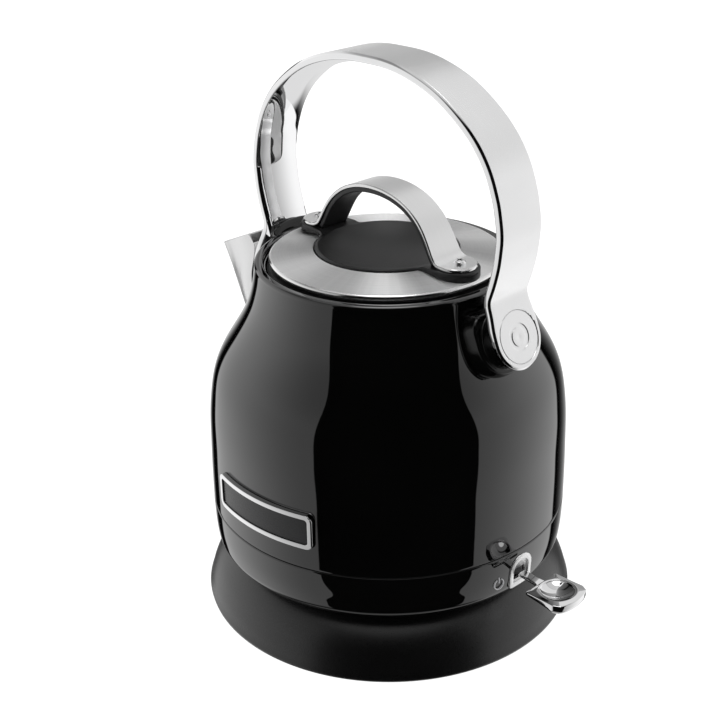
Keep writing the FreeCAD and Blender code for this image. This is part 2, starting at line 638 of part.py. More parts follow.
front = slab("handle_front_outline", "YZ_Plane", -95.0, 190.0, handle_front)
handle = boolean("Common", "handle_band", bar, front)


# the grip is rounded on its inner side; the rounding runs out above the tabs
def crown():
    fade = {20: 0.96, 21: 0.82, 22: 0.64, 23: 0.48, 24: 0.34, 25: 0.16, 26: -0.16}
    rear = []
    for i in range(0, 27):
        (x, z), (xa, za), (xb, zb) = half[i], half[max(i - 1, 0)], half[i + 1]
        tx, tz = (1.0, 0.0) if i == 0 else (xb - xa, zb - za)
        m = math.hypot(tx, tz)
        rear.append((x, z, tz / m, -tx / m, D["grip_crown"] * fade.get(i, 1.0)))
    run = [(-x, z, -nx, nz, rise) for x, z, nx, nz, rise in reversed(rear[1:])] + rear
    w, deep, edge = 0.5 * D["handle_width"] - 0.6, 1.6, th - 0.15
    wires = []
    for x, z, nx, nz, rise in run:
        def at_section(y, h):
            return V(x + h * nx, y, z + h * nz)
        bow = [at_section(w * k / 4.0, edge + (rise + 0.15) * (1 - (k / 4.0) ** 2)) for k in range(4, -5, -1)]
        bs = Part.BSplineCurve()
        bs.interpolate(bow)
        a, b = at_section(-w, deep), at_section(w, deep)
        wires.append(Part.Wire([Part.makeLine(a, b), Part.makeLine(b, bow[0]), bs.toShape(), Part.makeLine(bow[-1], a)]))
    return Part.makeLoft(wires, True, False)


grip = doc.addObject("Part::Feature", "grip_rounding")
grip.Shape = crown()
handle = boolean("Fuse", "handle_solid", handle, grip)
OUTN = V(math.cos(tilt), 0, math.sin(tilt))
TAB = V(D["tab_reach"], 0, D["tab_height"])


def tab_rod(name, r, start, length, side):
    p = TAB + OUTN * start
    c = rod(name, r, length, (side * p.x, 0, p.z), (side * OUTN.x, 0, OUTN.z))
    return c


tools = []
for side, tag in ((1, "rear"), (-1, "front")):
    tools.append(tab_rod("cap_recess_" + tag, "cap_radius + 0.1", -1.2, 6.0, side))
    tools.append(tab_rod("head_recess_" + tag, 4.6, -3.0, 4.0, side))
    tools.append(tab_rod("tab_hole_" + tag, 2.2, -8.0, 8.0, side))
node(boolean("Cut", "handle", handle, multi("handle_drilling", tools)))
node(group("handle_caps", [tab_rod("cap_rear", "cap_radius", -1.15, "cap_thick", 1),
                           tab_rod("cap_front", "cap_radius", -1.15, "cap_thick", -1)]))
heads = []
for side, tag in ((1, "rear"), (-1, "front")):
    heads.append(boolean("Fuse", "handle_screw_" + tag, tab_rod("handle_screw_head_" + tag, 4.4, -2.95, 1.7, side),
                         tab_rod("handle_screw_shank_" + tag, 2.0, -13.0, 10.5, side)))
node(group("handle_screws", heads))


# bosses between body and handle: a rounded pad on the body and a round step under the tab
def boss_pad(sk):
    draw(sk, [(-16.6, 0.0), (16.6, 0.0), (16.6, 9.0), (11.0, 14.4), (-11.0, 14.4), (-16.6, 9.0)],
         {0: ("arc", (0, -16.9)), 2: ("arc", (15.0, 12.8)), 4: ("arc", (-15.0, 12.8))})


pad_r = slab("boss_pad", "YZ_Plane", -40.0, 30.6, boss_pad)
pad_r.Placement = Placement(TAB, Rotation(V(0, 1, 0), -D["tab_tilt"]))
step_r = tab_rod("boss_step", "tab_radius - 0.9", -30.0, "30 - handle_thick", 1)
boss = boolean("Fuse", "boss_solid", pad_r, step_r)
boss = boolean("Cut", "boss_trimmed", boss, shell_solid)
boss = boolean("Cut", "boss_seated", boss, handle)
boss = boolean("Cut", "rear_handle_boss", boss, tab_rod("boss_hole", 2.05, -14.0, 14.0, 1))
node(boss)
fb = doc.addObject("Part::Mirroring", "front_handle_boss")
fb.Source = boss
fb.Normal = V(1, 0, 0)
fb.Label = "front_handle_boss"
node(fb)

# ---------------- lid ----------------
node_ring = turned("lid_ring_plain", [
    ("insert_radius + 0.2", 176.3), ("insert_radius + 0.2", 177.6), ("lid_radius - 1.9", 175.3),
    ("lid_radius - 0.2", 172.6), ("lid_radius - 1.5", 172.6), ("lid_radius - 2.1", 173.9)],
    {2: [("lid_radius - 0.7", 175.0), ("lid_radius", 174.0)]})
lid_hole_a = rod("lid_hole_a", 2.1, 40, (D["lid_screw_x"], 0, 150), (0, 0, 1))
lid_hole_b = rod("lid_hole_b", 2.1, 40, (-D["lid_screw_x"], 0, 150), (0, 0, 1))
lid_holes = multi("lid_holes", [lid_hole_a, lid_hole_b])
node(boolean("Cut", "lid_ring", node_ring, lid_holes))
dished = turned("insert_dish", [
    (0, 168.3), (20, 169.5), (30, 173.6), ("insert_radius", 175.6), ("insert_radius", 178.2),
    ("insert_radius - 1.4", 178.6), (0, 170.0)], {5: [(24, 174.4), (13, 171.2)]})


def lobes(sk):
    draw(sk, [(32.4, -11.6), (42.8, -11.0), (42.8, 11.0), (32.4, 11.6)], {1: ("arc", (53.8, 0))})
    draw(sk, [(-32.4, 11.6), (-42.8, 11.0), (-42.8, -11.0), (-32.4, -11.6)], {1: ("arc", (-53.8, 0))})


ears_lid = slab("insert_lobes", "XY_Plane", 170.0, 9.5, lobes)
under_lobes = turned("insert_under_lobes", [
    (20, 165), (60, 165), (60, 174.2), ("lid_radius - 1.9", 175.3), ("insert_radius + 0.2", 177.6),
    ("insert_radius", 177.6), ("insert_radius", 175.6), (30, 173.6), (20, 169.5)])
inner_room = turned("insert_room", [(0, 160), (32.0, 160), (32.0, 190), (0, 190)])
ears_lid = boolean("Cut", "insert_lobes_fitted", ears_lid, under_lobes)
ears_lid = boolean("Cut", "insert_lobes_open", ears_lid, inner_room)
insert = boolean("Fuse", "insert_solid", dished, ears_lid)
node(boolean("Cut", "lid_insert", insert, lid_holes))

STRAP = [(8, 207.5), (14, 206.1), (20.5, 203.4), (26, 199.6), (30.6, 194.8), (34, 189.6), (36.6, 185.0),
         (38.6, 182.4)]
lvl = D["foot_level"]
s_half = [(0.0, D["strap_top"])] + STRAP + [(41.6, lvl)]
s_in = inset(s_half, D["strap_thick"], (1.0, 0.0), (1.0, 0.0))


def strap_profile(sk):
    e = D["foot_reach"] + D["foot_half"] + 1
    outer = list(reversed(mirror(s_half[1:-1]))) + [s_half[0]] + s_half[1:-1]
    inner = list(reversed(s_in[1:-1])) + [s_in[0]] + mirror(s_in[1:-1])
    draw(sk, [(-e, lvl), (-s_half[-1][0], lvl), (s_half[-1][0], lvl), (e, lvl), (e, "foot_level - strap_thick"),
              (s_in[-1][0], s_in[-1][1]), (-s_in[-1][0], s_in[-1][1]), (-e, "foot_level - strap_thick")],
         {1: outer, 5: inner})


def strap_plan(sk):
    w, h, c = 0.5 * D["strap_width"], D["foot_half"], D["foot_reach"]
    draw(sk, [(-c, -h), (-24, -w), (24, -w), (c, -h), (c, h), (24, w), (-24, w), (-c, h)],
         {0: [(-36, -w - 0.9)], 2: [(36, -w - 0.9)], 3: ("arc", (c + h, 0)), 4: [(36, w + 0.9)], 6: [(-36, w + 0.9)],
          7: ("arc", (-c - h, 0))})


strap = boolean("Common", "strap_solid", slab("strap_bar", "XZ_Plane", -12.0, 24.0, strap_profile),
                slab("strap_outline", "XY_Plane", 175.0, 40.0, strap_plan))
node(boolean("Cut", "lid_strap", strap, lid_holes))

l_out = inset(s_half, D["strap_thick"] + 0.08, (1.0, 0.0), (1.0, 0.0))
l_in = inset(s_half, D["strap_thick"] + D["liner_thick"], (1.0, 0.0), (1.0, 0.0))
top_ear = 179.5


def liner_profile(sk):
    o = [p for p in l_out if p[1] > 184.0]
    n = [p for p in l_in if p[1] > 182.5]
    oe = (o[-1][0] + 1.75, top_ear + 0.6)
    ne = (n[-1][0] + 1.0, top_ear)
    outer = list(reversed(mirror(o[1:]))) + [o[0]] + o[1:]
    inner = list(reversed(n[1:])) + [n[0]] + mirror(n[1:])
    draw(sk, [(-oe[0], oe[1]), oe, (oe[0], top_ear), ne, (-ne[0], ne[1]), (-oe[0], top_ear)], {0: outer, 3: inner})


node(slab("strap_liner", "XZ_Plane", -8.0, 16.0, liner_profile))
ls = []
for s, tag in ((1, "a"), (-1, "b")):
    head = turned("lid_screw_head_" + tag, [(0, lvl), (2.9, lvl), (2.9, lvl + 0.7), (1.5, lvl + 1.7), (0, lvl + 1.9)],
                  {2: [(2.4, lvl + 1.35)]})
    head.Placement = Placement(V(s * D["lid_screw_x"], 0, 0), Rotation())
    sl1 = box("lid_cross_a_" + tag, s * D["lid_screw_x"] - 1.6, s * D["lid_screw_x"] + 1.6, -0.36, 0.36, lvl + 0.9,
              lvl + 3)
    sl2 = box("lid_cross_b_" + tag, s * D["lid_screw_x"] - 0.36, s * D["lid_screw_x"] + 0.36, -1.6, 1.6, lvl + 0.9,
              lvl + 3)
    crossed = boolean("Cut", "lid_screw_crossed_" + tag, head, multi("lid_cross_" + tag, [sl1, sl2]))
    ls.append(boolean("Fuse", "lid_screw_" + tag, crossed, rod("lid_screw_shank_" + tag, 1.9, 13.0 + 0.5,
                                                               (s * D["lid_screw_x"], 0, lvl - 13.0), (0, 0, 1))))
node(group("lid_screws", ls))
plug = turned("lid_plug_disc", [
    (0, "plug_low"), ("plug_radius - 2", "plug_low"), ("plug_radius", "plug_low + 2"), ("plug_radius", 172.4),
    ("plug_radius - 1.8", 172.4), ("plug_radius - 1.8", "plug_low + 2.2"), (0, "plug_low + 2.2")])


def plug_posts(sk):
    for s in (1, -1):
        ring(sk, s * D["lid_screw_x"], 0, 4.6)


plug = boolean("Fuse", "lid_plug_solid", plug, slab("lid_plug_posts", "XY_Plane", "plug_low + 1", 7.6, plug_posts))


def plug_bores(sk):
    for s in (1, -1):
        ring(sk, s * D["lid_screw_x"], 0, 1.95)


node(boolean("Cut", "lid_inner", plug, slab("lid_plug_bores", "XY_Plane", "plug_low + 1.2", 20.0, plug_bores)))
node(turned("lid_seal", [("plug_radius", 168.0), ("seal_radius - 1", 168.6), ("seal_radius", 169.4),
                         ("seal_radius - 1", 170.2), ("plug_radius", 170.8)]))


# ---------------- name-plate place ----------------
def badge_blank(name, face):
    return turned(name, [(80, 60), (face, 60), (face, 85), (80, 85)])


bz = 0.5 * (D["badge_low"] + D["badge_high"])
bh = 0.5 * (D["badge_high"] - D["badge_low"])
bw, bb, bx = D["badge_half"], D["badge_border"], D["badge_centre"]
frame_cut = slab("badge_frame_outline", "XZ_Plane", 70.0, 25.0, lambda sk: (
    rounded(sk, bx, bz, bw, bh, 3.2), rounded(sk, bx, bz, bw - bb, bh - bb, 1.8)))
plate_cut = slab("badge_plate_outline", "XZ_Plane", 70.0, 25.0, lambda sk: rounded(sk, bx, bz, bw - bb, bh - bb, 1.8))
node(boolean("Cut", "badge_frame", boolean("Common", "badge_frame_blank", badge_blank("badge_frame_ring", "badge_face"),
                                           frame_cut), shell_solid))
node(boolean("Cut", "badge_plate", boolean("Common", "badge_plate_blank",
                                           badge_blank("badge_plate_ring", "badge_face - 0.7"), plate_cut),
             shell_solid))

# ---------------- checks and files ----------------
doc.recompute()
bad = [o.Name for o in doc.Objects if "Invalid" in o.State or "Error" in o.State]
if bad:
    raise SystemExit("failed objects: %s" % bad)
names = [o.Label for o in NODES]
if len(set(names)) != len(names):
    raise SystemExit("a label is used twice")
for o in NODES:
    s = o.Shape
    if s.isNull() or not s.isValid() or not s.Solids:
        raise SystemExit("bad shape: %s" % o.Label)
for o in NODES:
    o.Shape.exportStep("parts/%s.step" % o.Label)
    b = o.Shape.BoundBox
    print("%-20s solids %2d volume %10.1f  x %7.1f %7.1f  y %7.1f %7.1f  z %7.1f %7.1f" % (
        o.Label, len(o.Shape.Solids), o.Shape.Volume, b.XMin, b.XMax, b.YMin, b.YMax, b.ZMin, b.ZMax))
print(len(NODES), "nodes")
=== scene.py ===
import bpy
import bmesh
import math
import numpy as np
from mathutils import Matrix, Vector


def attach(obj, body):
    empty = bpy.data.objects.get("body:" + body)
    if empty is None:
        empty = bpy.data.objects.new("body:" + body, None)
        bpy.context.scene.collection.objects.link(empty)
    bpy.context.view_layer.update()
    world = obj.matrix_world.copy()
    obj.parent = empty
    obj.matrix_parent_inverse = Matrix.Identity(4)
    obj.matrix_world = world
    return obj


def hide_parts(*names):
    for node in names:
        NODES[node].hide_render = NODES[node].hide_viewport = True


# Electric kettle: gloss black body on a matte black power base, light metal band handle,
# steel spout, brushed steel lid with a black dished insert.  Lengths below are millimetres.

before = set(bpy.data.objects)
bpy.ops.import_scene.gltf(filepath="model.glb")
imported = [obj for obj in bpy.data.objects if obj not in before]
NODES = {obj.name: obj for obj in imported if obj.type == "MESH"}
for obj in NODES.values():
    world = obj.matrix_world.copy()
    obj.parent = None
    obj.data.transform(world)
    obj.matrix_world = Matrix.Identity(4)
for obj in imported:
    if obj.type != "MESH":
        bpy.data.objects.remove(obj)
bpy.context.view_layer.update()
scene = bpy.context.scene
PI = math.pi


# ------------------------------------------------------------------ curves
def spline(points, n):
    """Points on a smooth cubic through the given points, evenly spread by chord length."""
    p = np.array(points, float)
    d = np.r_[0, np.cumsum(np.sqrt((np.diff(p, axis=0) ** 2).sum(1)))]
    k = len(p)
    h = np.diff(d)
    a = np.zeros((k, k))
    b = np.zeros((k, p.shape[1]))
    a[0, 0] = a[-1, -1] = 1
    for i in range(1, k - 1):
        a[i, i - 1], a[i, i], a[i, i + 1] = h[i - 1], 2 * (h[i - 1] + h[i]), h[i]
        b[i] = 6 * ((p[i + 1] - p[i]) / h[i] - (p[i] - p[i - 1]) / h[i - 1])
    m = np.linalg.solve(a, b)
    u = np.linspace(0, d[-1], n)
    j = np.clip(np.searchsorted(d, u, side="right") - 1, 0, k - 2)
    t = (u - d[j])[:, None]
    hj = h[j][:, None]
    return (m[j] * (hj - t) ** 3 + m[j + 1] * t ** 3) / (6 * hj) + (p[j] / hj - m[j] * hj / 6) * (hj - t) + (
        p[j + 1] / hj - m[j + 1] * hj / 6) * t


def ring_spline(points, n):
    """Closed smooth curve through the points."""
    p = [tuple(q) for q in points]
    k = len(p)
    ext = p[-4:] + p + p[:5]
    d = np.r_[0, np.cumsum(np.sqrt((np.diff(np.array(ext), axis=0) ** 2).sum(1)))]
    dense = spline(ext, 4000)
    u = np.linspace(0, d[-1], 4000)
    want = np.linspace(d[4], d[4 + k], n, endpoint=False)
    return np.stack([np.interp(want, u, dense[:, c]) for c in range(dense.shape[1])], 1)


def soften(points, r, least=18.0, seg=5, closed=True):
    """Round the corners of a flat outline."""
    p = [np.array(q, float) for q in points]
    n = len(p)
    out = []
    for i in range(n):
        if not closed and i in (0, n - 1):
            out.append(p[i])
            continue
        a, b, c = p[i - 1], p[i], p[(i + 1) % n]
        u, v = a - b, c - b
        lu, lv = np.hypot(*u), np.hypot(*v)
        if lu < 1e-9 or lv < 1e-9:
            continue
        u, v = u / lu, v / lv
        turn = PI - math.acos(max(-1, min(1, float(u @ v))))
        ri = r[i] if isinstance(r, dict) and i in r else (0 if isinstance(r, dict) else r)
        if math.degrees(turn) < least or ri <= 0:
            out.append(b)
            continue
        cut = min(ri * math.tan(turn / 2), 0.45 * lu, 0.45 * lv)
        rr = cut / math.tan(turn / 2)
        mid = (u + v) / np.hypot(*(u + v))
        centre = b + mid * math.hypot(cut, rr)
        s0, s1 = b + u * cut - centre, b + v * cut - centre
        a0, a1 = math.atan2(s0[1], s0[0]), math.atan2(s1[1], s1[0])
        da = (a1 - a0 + PI) % (2 * PI) - PI
        for k in range(seg + 1):
            t = a0 + da * k / seg
            out.append(centre + rr * np.array([math.cos(t), math.sin(t)]))
    return [tuple(q) for q in out]


def arc(cx, cy, r, a0, a1, n):
    return [(cx + r * math.cos(math.radians(a0 + (a1 - a0) * k / n)), cy + r * math.sin(math.radians(a0 + (a1 - a0) * k / n)))
            for k in range(n + 1)]


# ------------------------------------------------------------------ meshes
def grid_faces(rows, cols, wrap_rows=False, wrap_cols=False):
    f = []
    for i in range(rows if wrap_rows else rows - 1):
        i2 = (i + 1) % rows
        for j in range(cols if wrap_cols else cols - 1):
            j2 = (j + 1) % cols
            f.append((i * cols + j, i * cols + j2, i2 * cols + j2, i2 * cols + j))
    return f


def raw_mesh(name, verts, faces, marks=None):
    me = bpy.data.meshes.new(name)
    me.from_pydata([(0.001 * x, 0.001 * y, 0.001 * z) for x, y, z in verts], [], faces)
    if marks is not None:
        me.polygons.foreach_set("material_index", marks)
    bm = bmesh.new()
    bm.from_mesh(me)
    bmesh.ops.remove_doubles(bm, verts=bm.verts, dist=2e-7)
    bmesh.ops.dissolve_degenerate(bm, edges=bm.edges, dist=1e-7)
    bmesh.ops.recalc_face_normals(bm, faces=bm.faces)
    bm.to_mesh(me)
    bm.free()
    return me


def cutter(name, verts, faces):
    me = raw_mesh(name, verts, faces)
    ob = bpy.data.objects.new(name, me)
    scene.collection.objects.link(ob)
    return ob


def carve(ob, tool, how="DIFFERENCE"):
    """Boolean with another closed mesh, applied."""
    m = ob.modifiers.new("carve", "BOOLEAN")
    m.operation, m.solver, m.object = how, "EXACT", tool
    bpy.context.view_layer.update()
    dg = bpy.context.evaluated_depsgraph_get()
    me = bpy.data.meshes.new_from_object(ob.evaluated_get(dg))
    old = ob.data
    ob.modifiers.clear()
    ob.data = me
    bpy.data.meshes.remove(old)
    bpy.data.objects.remove(tool, do_unlink=True)


def piece(name, body, mesh, mats, slot, *nodes, cuts=(), even=True, smooth=True, crease=None):
    mats = mats if isinstance(mats, (list, tuple)) else [mats]
    for m in mats:
        mesh.materials.append(m)
    ob = bpy.data.objects.new(name, mesh)
    scene.collection.objects.link(ob)
    for how, tool in cuts:
        tool.data.materials.append(mats[0])
        carve(ob, tool, how)
    me = ob.data
    me.polygons.foreach_set("use_smooth", [smooth] * len(me.polygons))
    if crease:
        bm = bmesh.new()
        bm.from_mesh(me)
        for e in bm.edges:
            if len(e.link_faces) == 2 and e.calc_face_angle(0.0) > math.radians(crease):
                e.smooth = False
        bm.to_mesh(me)
        bm.free()
    if even:
        w = ob.modifiers.new("even_normals", "WEIGHTED_NORMAL")
        w.mode, w.weight, w.keep_sharp = "FACE_AREA", 60, True
    me.update()
    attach(ob, body)
    if nodes:
        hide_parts(*nodes)
    return ob


def lathe_grid(profile, n=256, centre=(0, 0, 0), basis=None, start=0.0):
    """Turned solid of a closed outline of (radius, height)."""
    verts = []
    c = np.array(centre, float)
    b = np.eye(3) if basis is None else np.array(basis, float)
    for r, z in profile:
        for k in range(n):
            a = start + 2 * PI * k / n
            verts.append(tuple(c + b[0] * (r * math.cos(a)) + b[1] * (r * math.sin(a)) + b[2] * z))
    return verts, grid_faces(len(profile), n, wrap_rows=True, wrap_cols=True)


def lathe(name, profile, n=256, **k):
    return raw_mesh(name, *lathe_grid(profile, n, **k))


def loops_mesh(name, loops, closed=True, marks=None):
    """Skin over loops of equal count; the first and last loop are closed by fans if they are points."""
    n = len(loops[0])
    verts = [tuple(p) for lp in loops for p in lp]
    return raw_mesh(name, verts, grid_faces(len(loops), n, wrap_rows=closed, wrap_cols=True), marks)


# ------------------------------------------------------------------ materials
def material(name, **sockets):
    m = bpy.data.materials.new(name)
    m.use_nodes = True
    b = m.node_tree.nodes["Principled BSDF"]
    for k, v in sockets.items():
        b.inputs[k.replace("_", " ")].default_value = v
    return m, m.node_tree, b


def nd(tree, kind, **props):
    n = tree.nodes.new(kind)
    for k, v in props.items():
        if k in n.inputs:
            n.inputs[k].default_value = v
        else:
            setattr(n, k, v)
    return n


def spread(tree, source, lo, hi, a=0.3, b=0.7):
    r = nd(tree, "ShaderNodeMapRange")
    r.inputs["From Min"].default_value, r.inputs["From Max"].default_value = a, b
    r.inputs["To Min"].default_value, r.inputs["To Max"].default_value = lo, hi
    tree.links.new(source, r.inputs["Value"])
    return r.outputs["Result"]


def noise(tree, scale, detail=3.0, rough=0.5, stretch=None, source=None):
    if source is None:
        source = nd(tree, "ShaderNodeTexCoord").outputs["Object"]
    if stretch is not None:
        mp = nd(tree, "ShaderNodeMapping")
        mp.inputs["Scale"].default_value = stretch
        tree.links.new(source, mp.inputs["Vector"])
        source = mp.outputs["Vector"]
    n = nd(tree, "ShaderNodeTexNoise", Scale=scale, Detail=detail, Roughness=rough)
    tree.links.new(source, n.inputs["Vector"])
    return n.outputs["Fac"]


def bump(tree, bsdf, height, strength, distance):
    b = nd(tree, "ShaderNodeBump", Strength=strength, Distance=distance)
    tree.links.new(height, b.inputs["Height"])
    tree.links.new(b.outputs["Normal"], bsdf.inputs["Normal"])
    return b


def tint(tree, bsdf, source, dark, light, a=0.3, b=0.7):
    r = nd(tree, "ShaderNodeValToRGB")
    r.color_ramp.elements[0].position, r.color_ramp.elements[1].position = a, b
    r.color_ramp.elements[0].color, r.color_ramp.elements[1].color = (*dark, 1), (*light, 1)
    tree.links.new(source, r.inputs["Fac"])
    tree.links.new(r.outputs["Color"], bsdf.inputs["Base Color"])


def gloss_paint(name, tone=0.0008, rough=(0.004, 0.014), ior=1.9, peel=0.006):
    m, t, b = material(name, Metallic=0.0, IOR=ior)
    tint(t, b, noise(t, 22, 4), (tone * 0.8,) * 3, (tone * 1.25,) * 3)
    t.links.new(spread(t, noise(t, 55, 5, 0.6), *rough), b.inputs["Roughness"])
    bump(t, b, noise(t, 420, 2, 0.4), peel, 0.0004)
    return m


def grained_plastic(name, tone, rough, grain=2600, strength=0.25, ior=1.5):
    m, t, b = material(name, Metallic=0.0, IOR=ior)
    fine = noise(t, grain, 4, 0.6)
    tint(t, b, noise(t, 60, 5, 0.55), tuple(c * 0.85 for c in tone), tuple(c * 1.15 for c in tone))
    t.links.new(spread(t, fine, rough - 0.06, rough + 0.06), b.inputs["Roughness"])
    bump(t, b, fine, strength, 0.00012)
    return m


def satin_metal(name, tone, rough, grain=2400, strength=0.012, vary=0.025):
    m, t, b = material(name, Metallic=1.0)
    fine = noise(t, grain, 5, 0.6)
    tint(t, b, noise(t, 40, 4), tuple(c * 0.98 for c in tone), tuple(min(1, c * 1.02) for c in tone))
    t.links.new(spread(t, fine, rough - vary, rough + vary), b.inputs["Roughness"])
    bump(t, b, fine, strength, 0.00004)
    return m


def polished_metal(name, tone, rough=(0.02, 0.07), smear=30):
    m, t, b = material(name, Metallic=1.0)
    tint(t, b, noise(t, 90, 4), tuple(c * 0.985 for c in tone), tone)
    t.links.new(spread(t, noise(t, smear, 5, 0.65), *rough), b.inputs["Roughness"])
    bump(t, b, noise(t, 160, 2, 0.4), 0.006, 0.0002)
    return m


def brushed_round(name, tone, rough=0.56, lines=1900.0, aniso=0.96, depth=0.006, painted_fan_streaks=0.0):
    """Steel brushed in circles about the vertical axis; with a fan amount the tone also gets radial streaks by angle,
    which are painted highlight streaks rather than brushing.
    """
    m, t, b = material(name, Metallic=1.0, Anisotropic=aniso, Anisotropic_Rotation=0.25)
    tc = nd(t, "ShaderNodeTexCoord").outputs["Object"]
    sep = nd(t, "ShaderNodeSeparateXYZ")
    t.links.new(tc, sep.inputs[0])
    flat = nd(t, "ShaderNodeCombineXYZ")
    t.links.new(sep.outputs["X"], flat.inputs["X"])
    t.links.new(sep.outputs["Y"], flat.inputs["Y"])
    ln = nd(t, "ShaderNodeVectorMath", operation="LENGTH")
    t.links.new(flat.outputs[0], ln.inputs[0])
    ang = nd(t, "ShaderNodeMath", operation="ARCTAN2")
    t.links.new(sep.outputs["Y"], ang.inputs[0])
    t.links.new(sep.outputs["X"], ang.inputs[1])
    co = nd(t, "ShaderNodeCombineXYZ")
    sc = nd(t, "ShaderNodeMath", operation="MULTIPLY")
    sc.inputs[1].default_value = lines
    t.links.new(ln.outputs["Value"], sc.inputs[0])
    sa = nd(t, "ShaderNodeMath", operation="MULTIPLY")
    sa.inputs[1].default_value = 3.0
    t.links.new(ang.outputs[0], sa.inputs[0])
    t.links.new(sc.outputs[0], co.inputs["X"])
    t.links.new(sa.outputs[0], co.inputs["Y"])
    lines_f = noise(t, 1.0, 2, 0.5, source=co.outputs[0])
    grain_and_fan_sheen = lines_f
    # radial tone streaks by angle, mixed into the brushing lines: a painted highlight fan
    if painted_fan_streaks:
        turns = nd(t, "ShaderNodeMath", operation="MULTIPLY")
        turns.inputs[1].default_value = 17.0
        t.links.new(ang.outputs[0], turns.inputs[0])
        co2 = nd(t, "ShaderNodeCombineXYZ")
        t.links.new(turns.outputs[0], co2.inputs["X"])
        t.links.new(ln.outputs["Value"], co2.inputs["Y"])
        both = nd(t, "ShaderNodeMath", operation="MULTIPLY_ADD")
        t.links.new(noise(t, 1.0, 3, 0.6, source=co2.outputs[0]), both.inputs[0])
        both.inputs[1].default_value = painted_fan_streaks
        half_f = nd(t, "ShaderNodeMath", operation="MULTIPLY")
        half_f.inputs[1].default_value = 1.0 - painted_fan_streaks
        t.links.new(lines_f, half_f.inputs[0])
        t.links.new(half_f.outputs[0], both.inputs[2])
        grain_and_fan_sheen = both.outputs[0]
    tint(t, b, grain_and_fan_sheen, tuple(c * 0.93 for c in tone), tuple(min(1, c * 1.06) for c in tone))
    t.links.new(spread(t, lines_f, rough - 0.03, rough + 0.03), b.inputs["Roughness"])
    bump(t, b, lines_f, depth, 0.00003)
    tg = nd(t, "ShaderNodeTangent", direction_type="RADIAL", axis="Z")
    t.links.new(tg.outputs[0], b.inputs["Tangent"])
    return m


def brushed_along(name, tone, rough=0.3, stretch=(30, 2000, 30), aniso=0.5, depth=0.012, axis="Y"):
    """Steel brushed in straight lines."""
    m, t, b = material(name, Metallic=1.0, Anisotropic=aniso, Anisotropic_Rotation=0.25)
    f = noise(t, 1.0, 2, 0.5, stretch=stretch)
    tint(t, b, f, tuple(c * 0.985 for c in tone), tuple(min(1, c * 1.015) for c in tone))
    t.links.new(spread(t, f, rough - 0.02, rough + 0.02), b.inputs["Roughness"])
    bump(t, b, f, depth, 0.00003)
    tg = nd(t, "ShaderNodeTangent", direction_type="RADIAL", axis=axis)
    t.links.new(tg.outputs[0], b.inputs["Tangent"])
    return m


M_BODY = gloss_paint("body_gloss_black")
M_BAND = gloss_paint("band_gloss_black", tone=0.0009, rough=(0.006, 0.018))
M_BOSS = gloss_paint("boss_gloss_black", tone=0.0015, rough=(0.1, 0.16), ior=1.5)
M_BASE = grained_plastic("base_matte_black", (0.0016, 0.0016, 0.0017), 0.31, strength=0.1, ior=1.75)
M_LIDPLASTIC = grained_plastic("insert_matte_black", (0.0085, 0.0085, 0.0088), 0.42, grain=2600, strength=0.1)
M_INNER = grained_plastic("inner_dark_plastic", (0.035, 0.035, 0.037), 0.42, grain=1800)
M_RUBBER = grained_plastic("black_rubber", (0.02, 0.02, 0.02), 0.75, grain=1500, strength=0.4)
M_SEAL = grained_plastic("dark_silicone", (0.01, 0.01, 0.0105), 0.55, grain=1200)
M_HANDLE = satin_metal("handle_satin", (0.95, 0.95, 0.953), 0.27, strength=0.0004, vary=0.005)
M_HANDLE_EDGE = polished_metal("handle_polished", (0.95, 0.95, 0.955), (0.02, 0.045))
M_SPOUT = satin_metal("spout_satin", (0.76, 0.76, 0.76), 0.3, strength=0.004, vary=0.015)
# the lid's tone carries painted radial highlight streaks (the fan amount)
M_LID = brushed_round("lid_brushed", (0.93, 0.93, 0.93), painted_fan_streaks=0.5)
M_LIDEDGE = polished_metal("lid_edge", (0.86, 0.86, 0.86), (0.1, 0.16))
M_STRAP = brushed_along("strap_brushed", (0.93, 0.93, 0.93), depth=0.004)
M_CHROME = polished_metal("chrome", (0.9, 0.9, 0.905), (0.015, 0.04))
# neck ring steel darkened to a 0.45 tone so it reads dark like the shaded gap under the lid: painted shade
M_RIM_PAINTED_SHADE = polished_metal("ring_steel_painted_shade", (0.45, 0.45, 0.45), (0.12, 0.2))
M_SATIN = satin_metal("escutcheon_satin", (0.95, 0.95, 0.95), 0.4, strength=0.003)
M_SCREW = polished_metal("screw_zinc", (0.7, 0.7, 0.69), (0.12, 0.25))
M_BRASS = satin_metal("contact_brass", (0.8, 0.6, 0.28), 0.25)
M_VESSEL = brushed_round("vessel_floor", (0.66, 0.66, 0.66), rough=0.32)
M_HEAT = satin_metal("heater_aluminium", (0.76, 0.76, 0.76), 0.38, grain=700)
M_ELEMENT = satin_metal("element_steel", (0.5, 0.47, 0.44), 0.35, grain=900)
M_ICON = grained_plastic("icon_pale", (0.34, 0.34, 0.35), 0.3, grain=2000, strength=0.02)
M_BOARD = grained_plastic("board_green", (0.02, 0.12, 0.05), 0.4, grain=900)
M_FIELD = grained_plastic("badge_field", (0.006, 0.006, 0.0065), 0.3, grain=2200, strength=0.12)
M_MESH = satin_metal("mesh_steel", (0.72, 0.72, 0.72), 0.3, grain=2500)

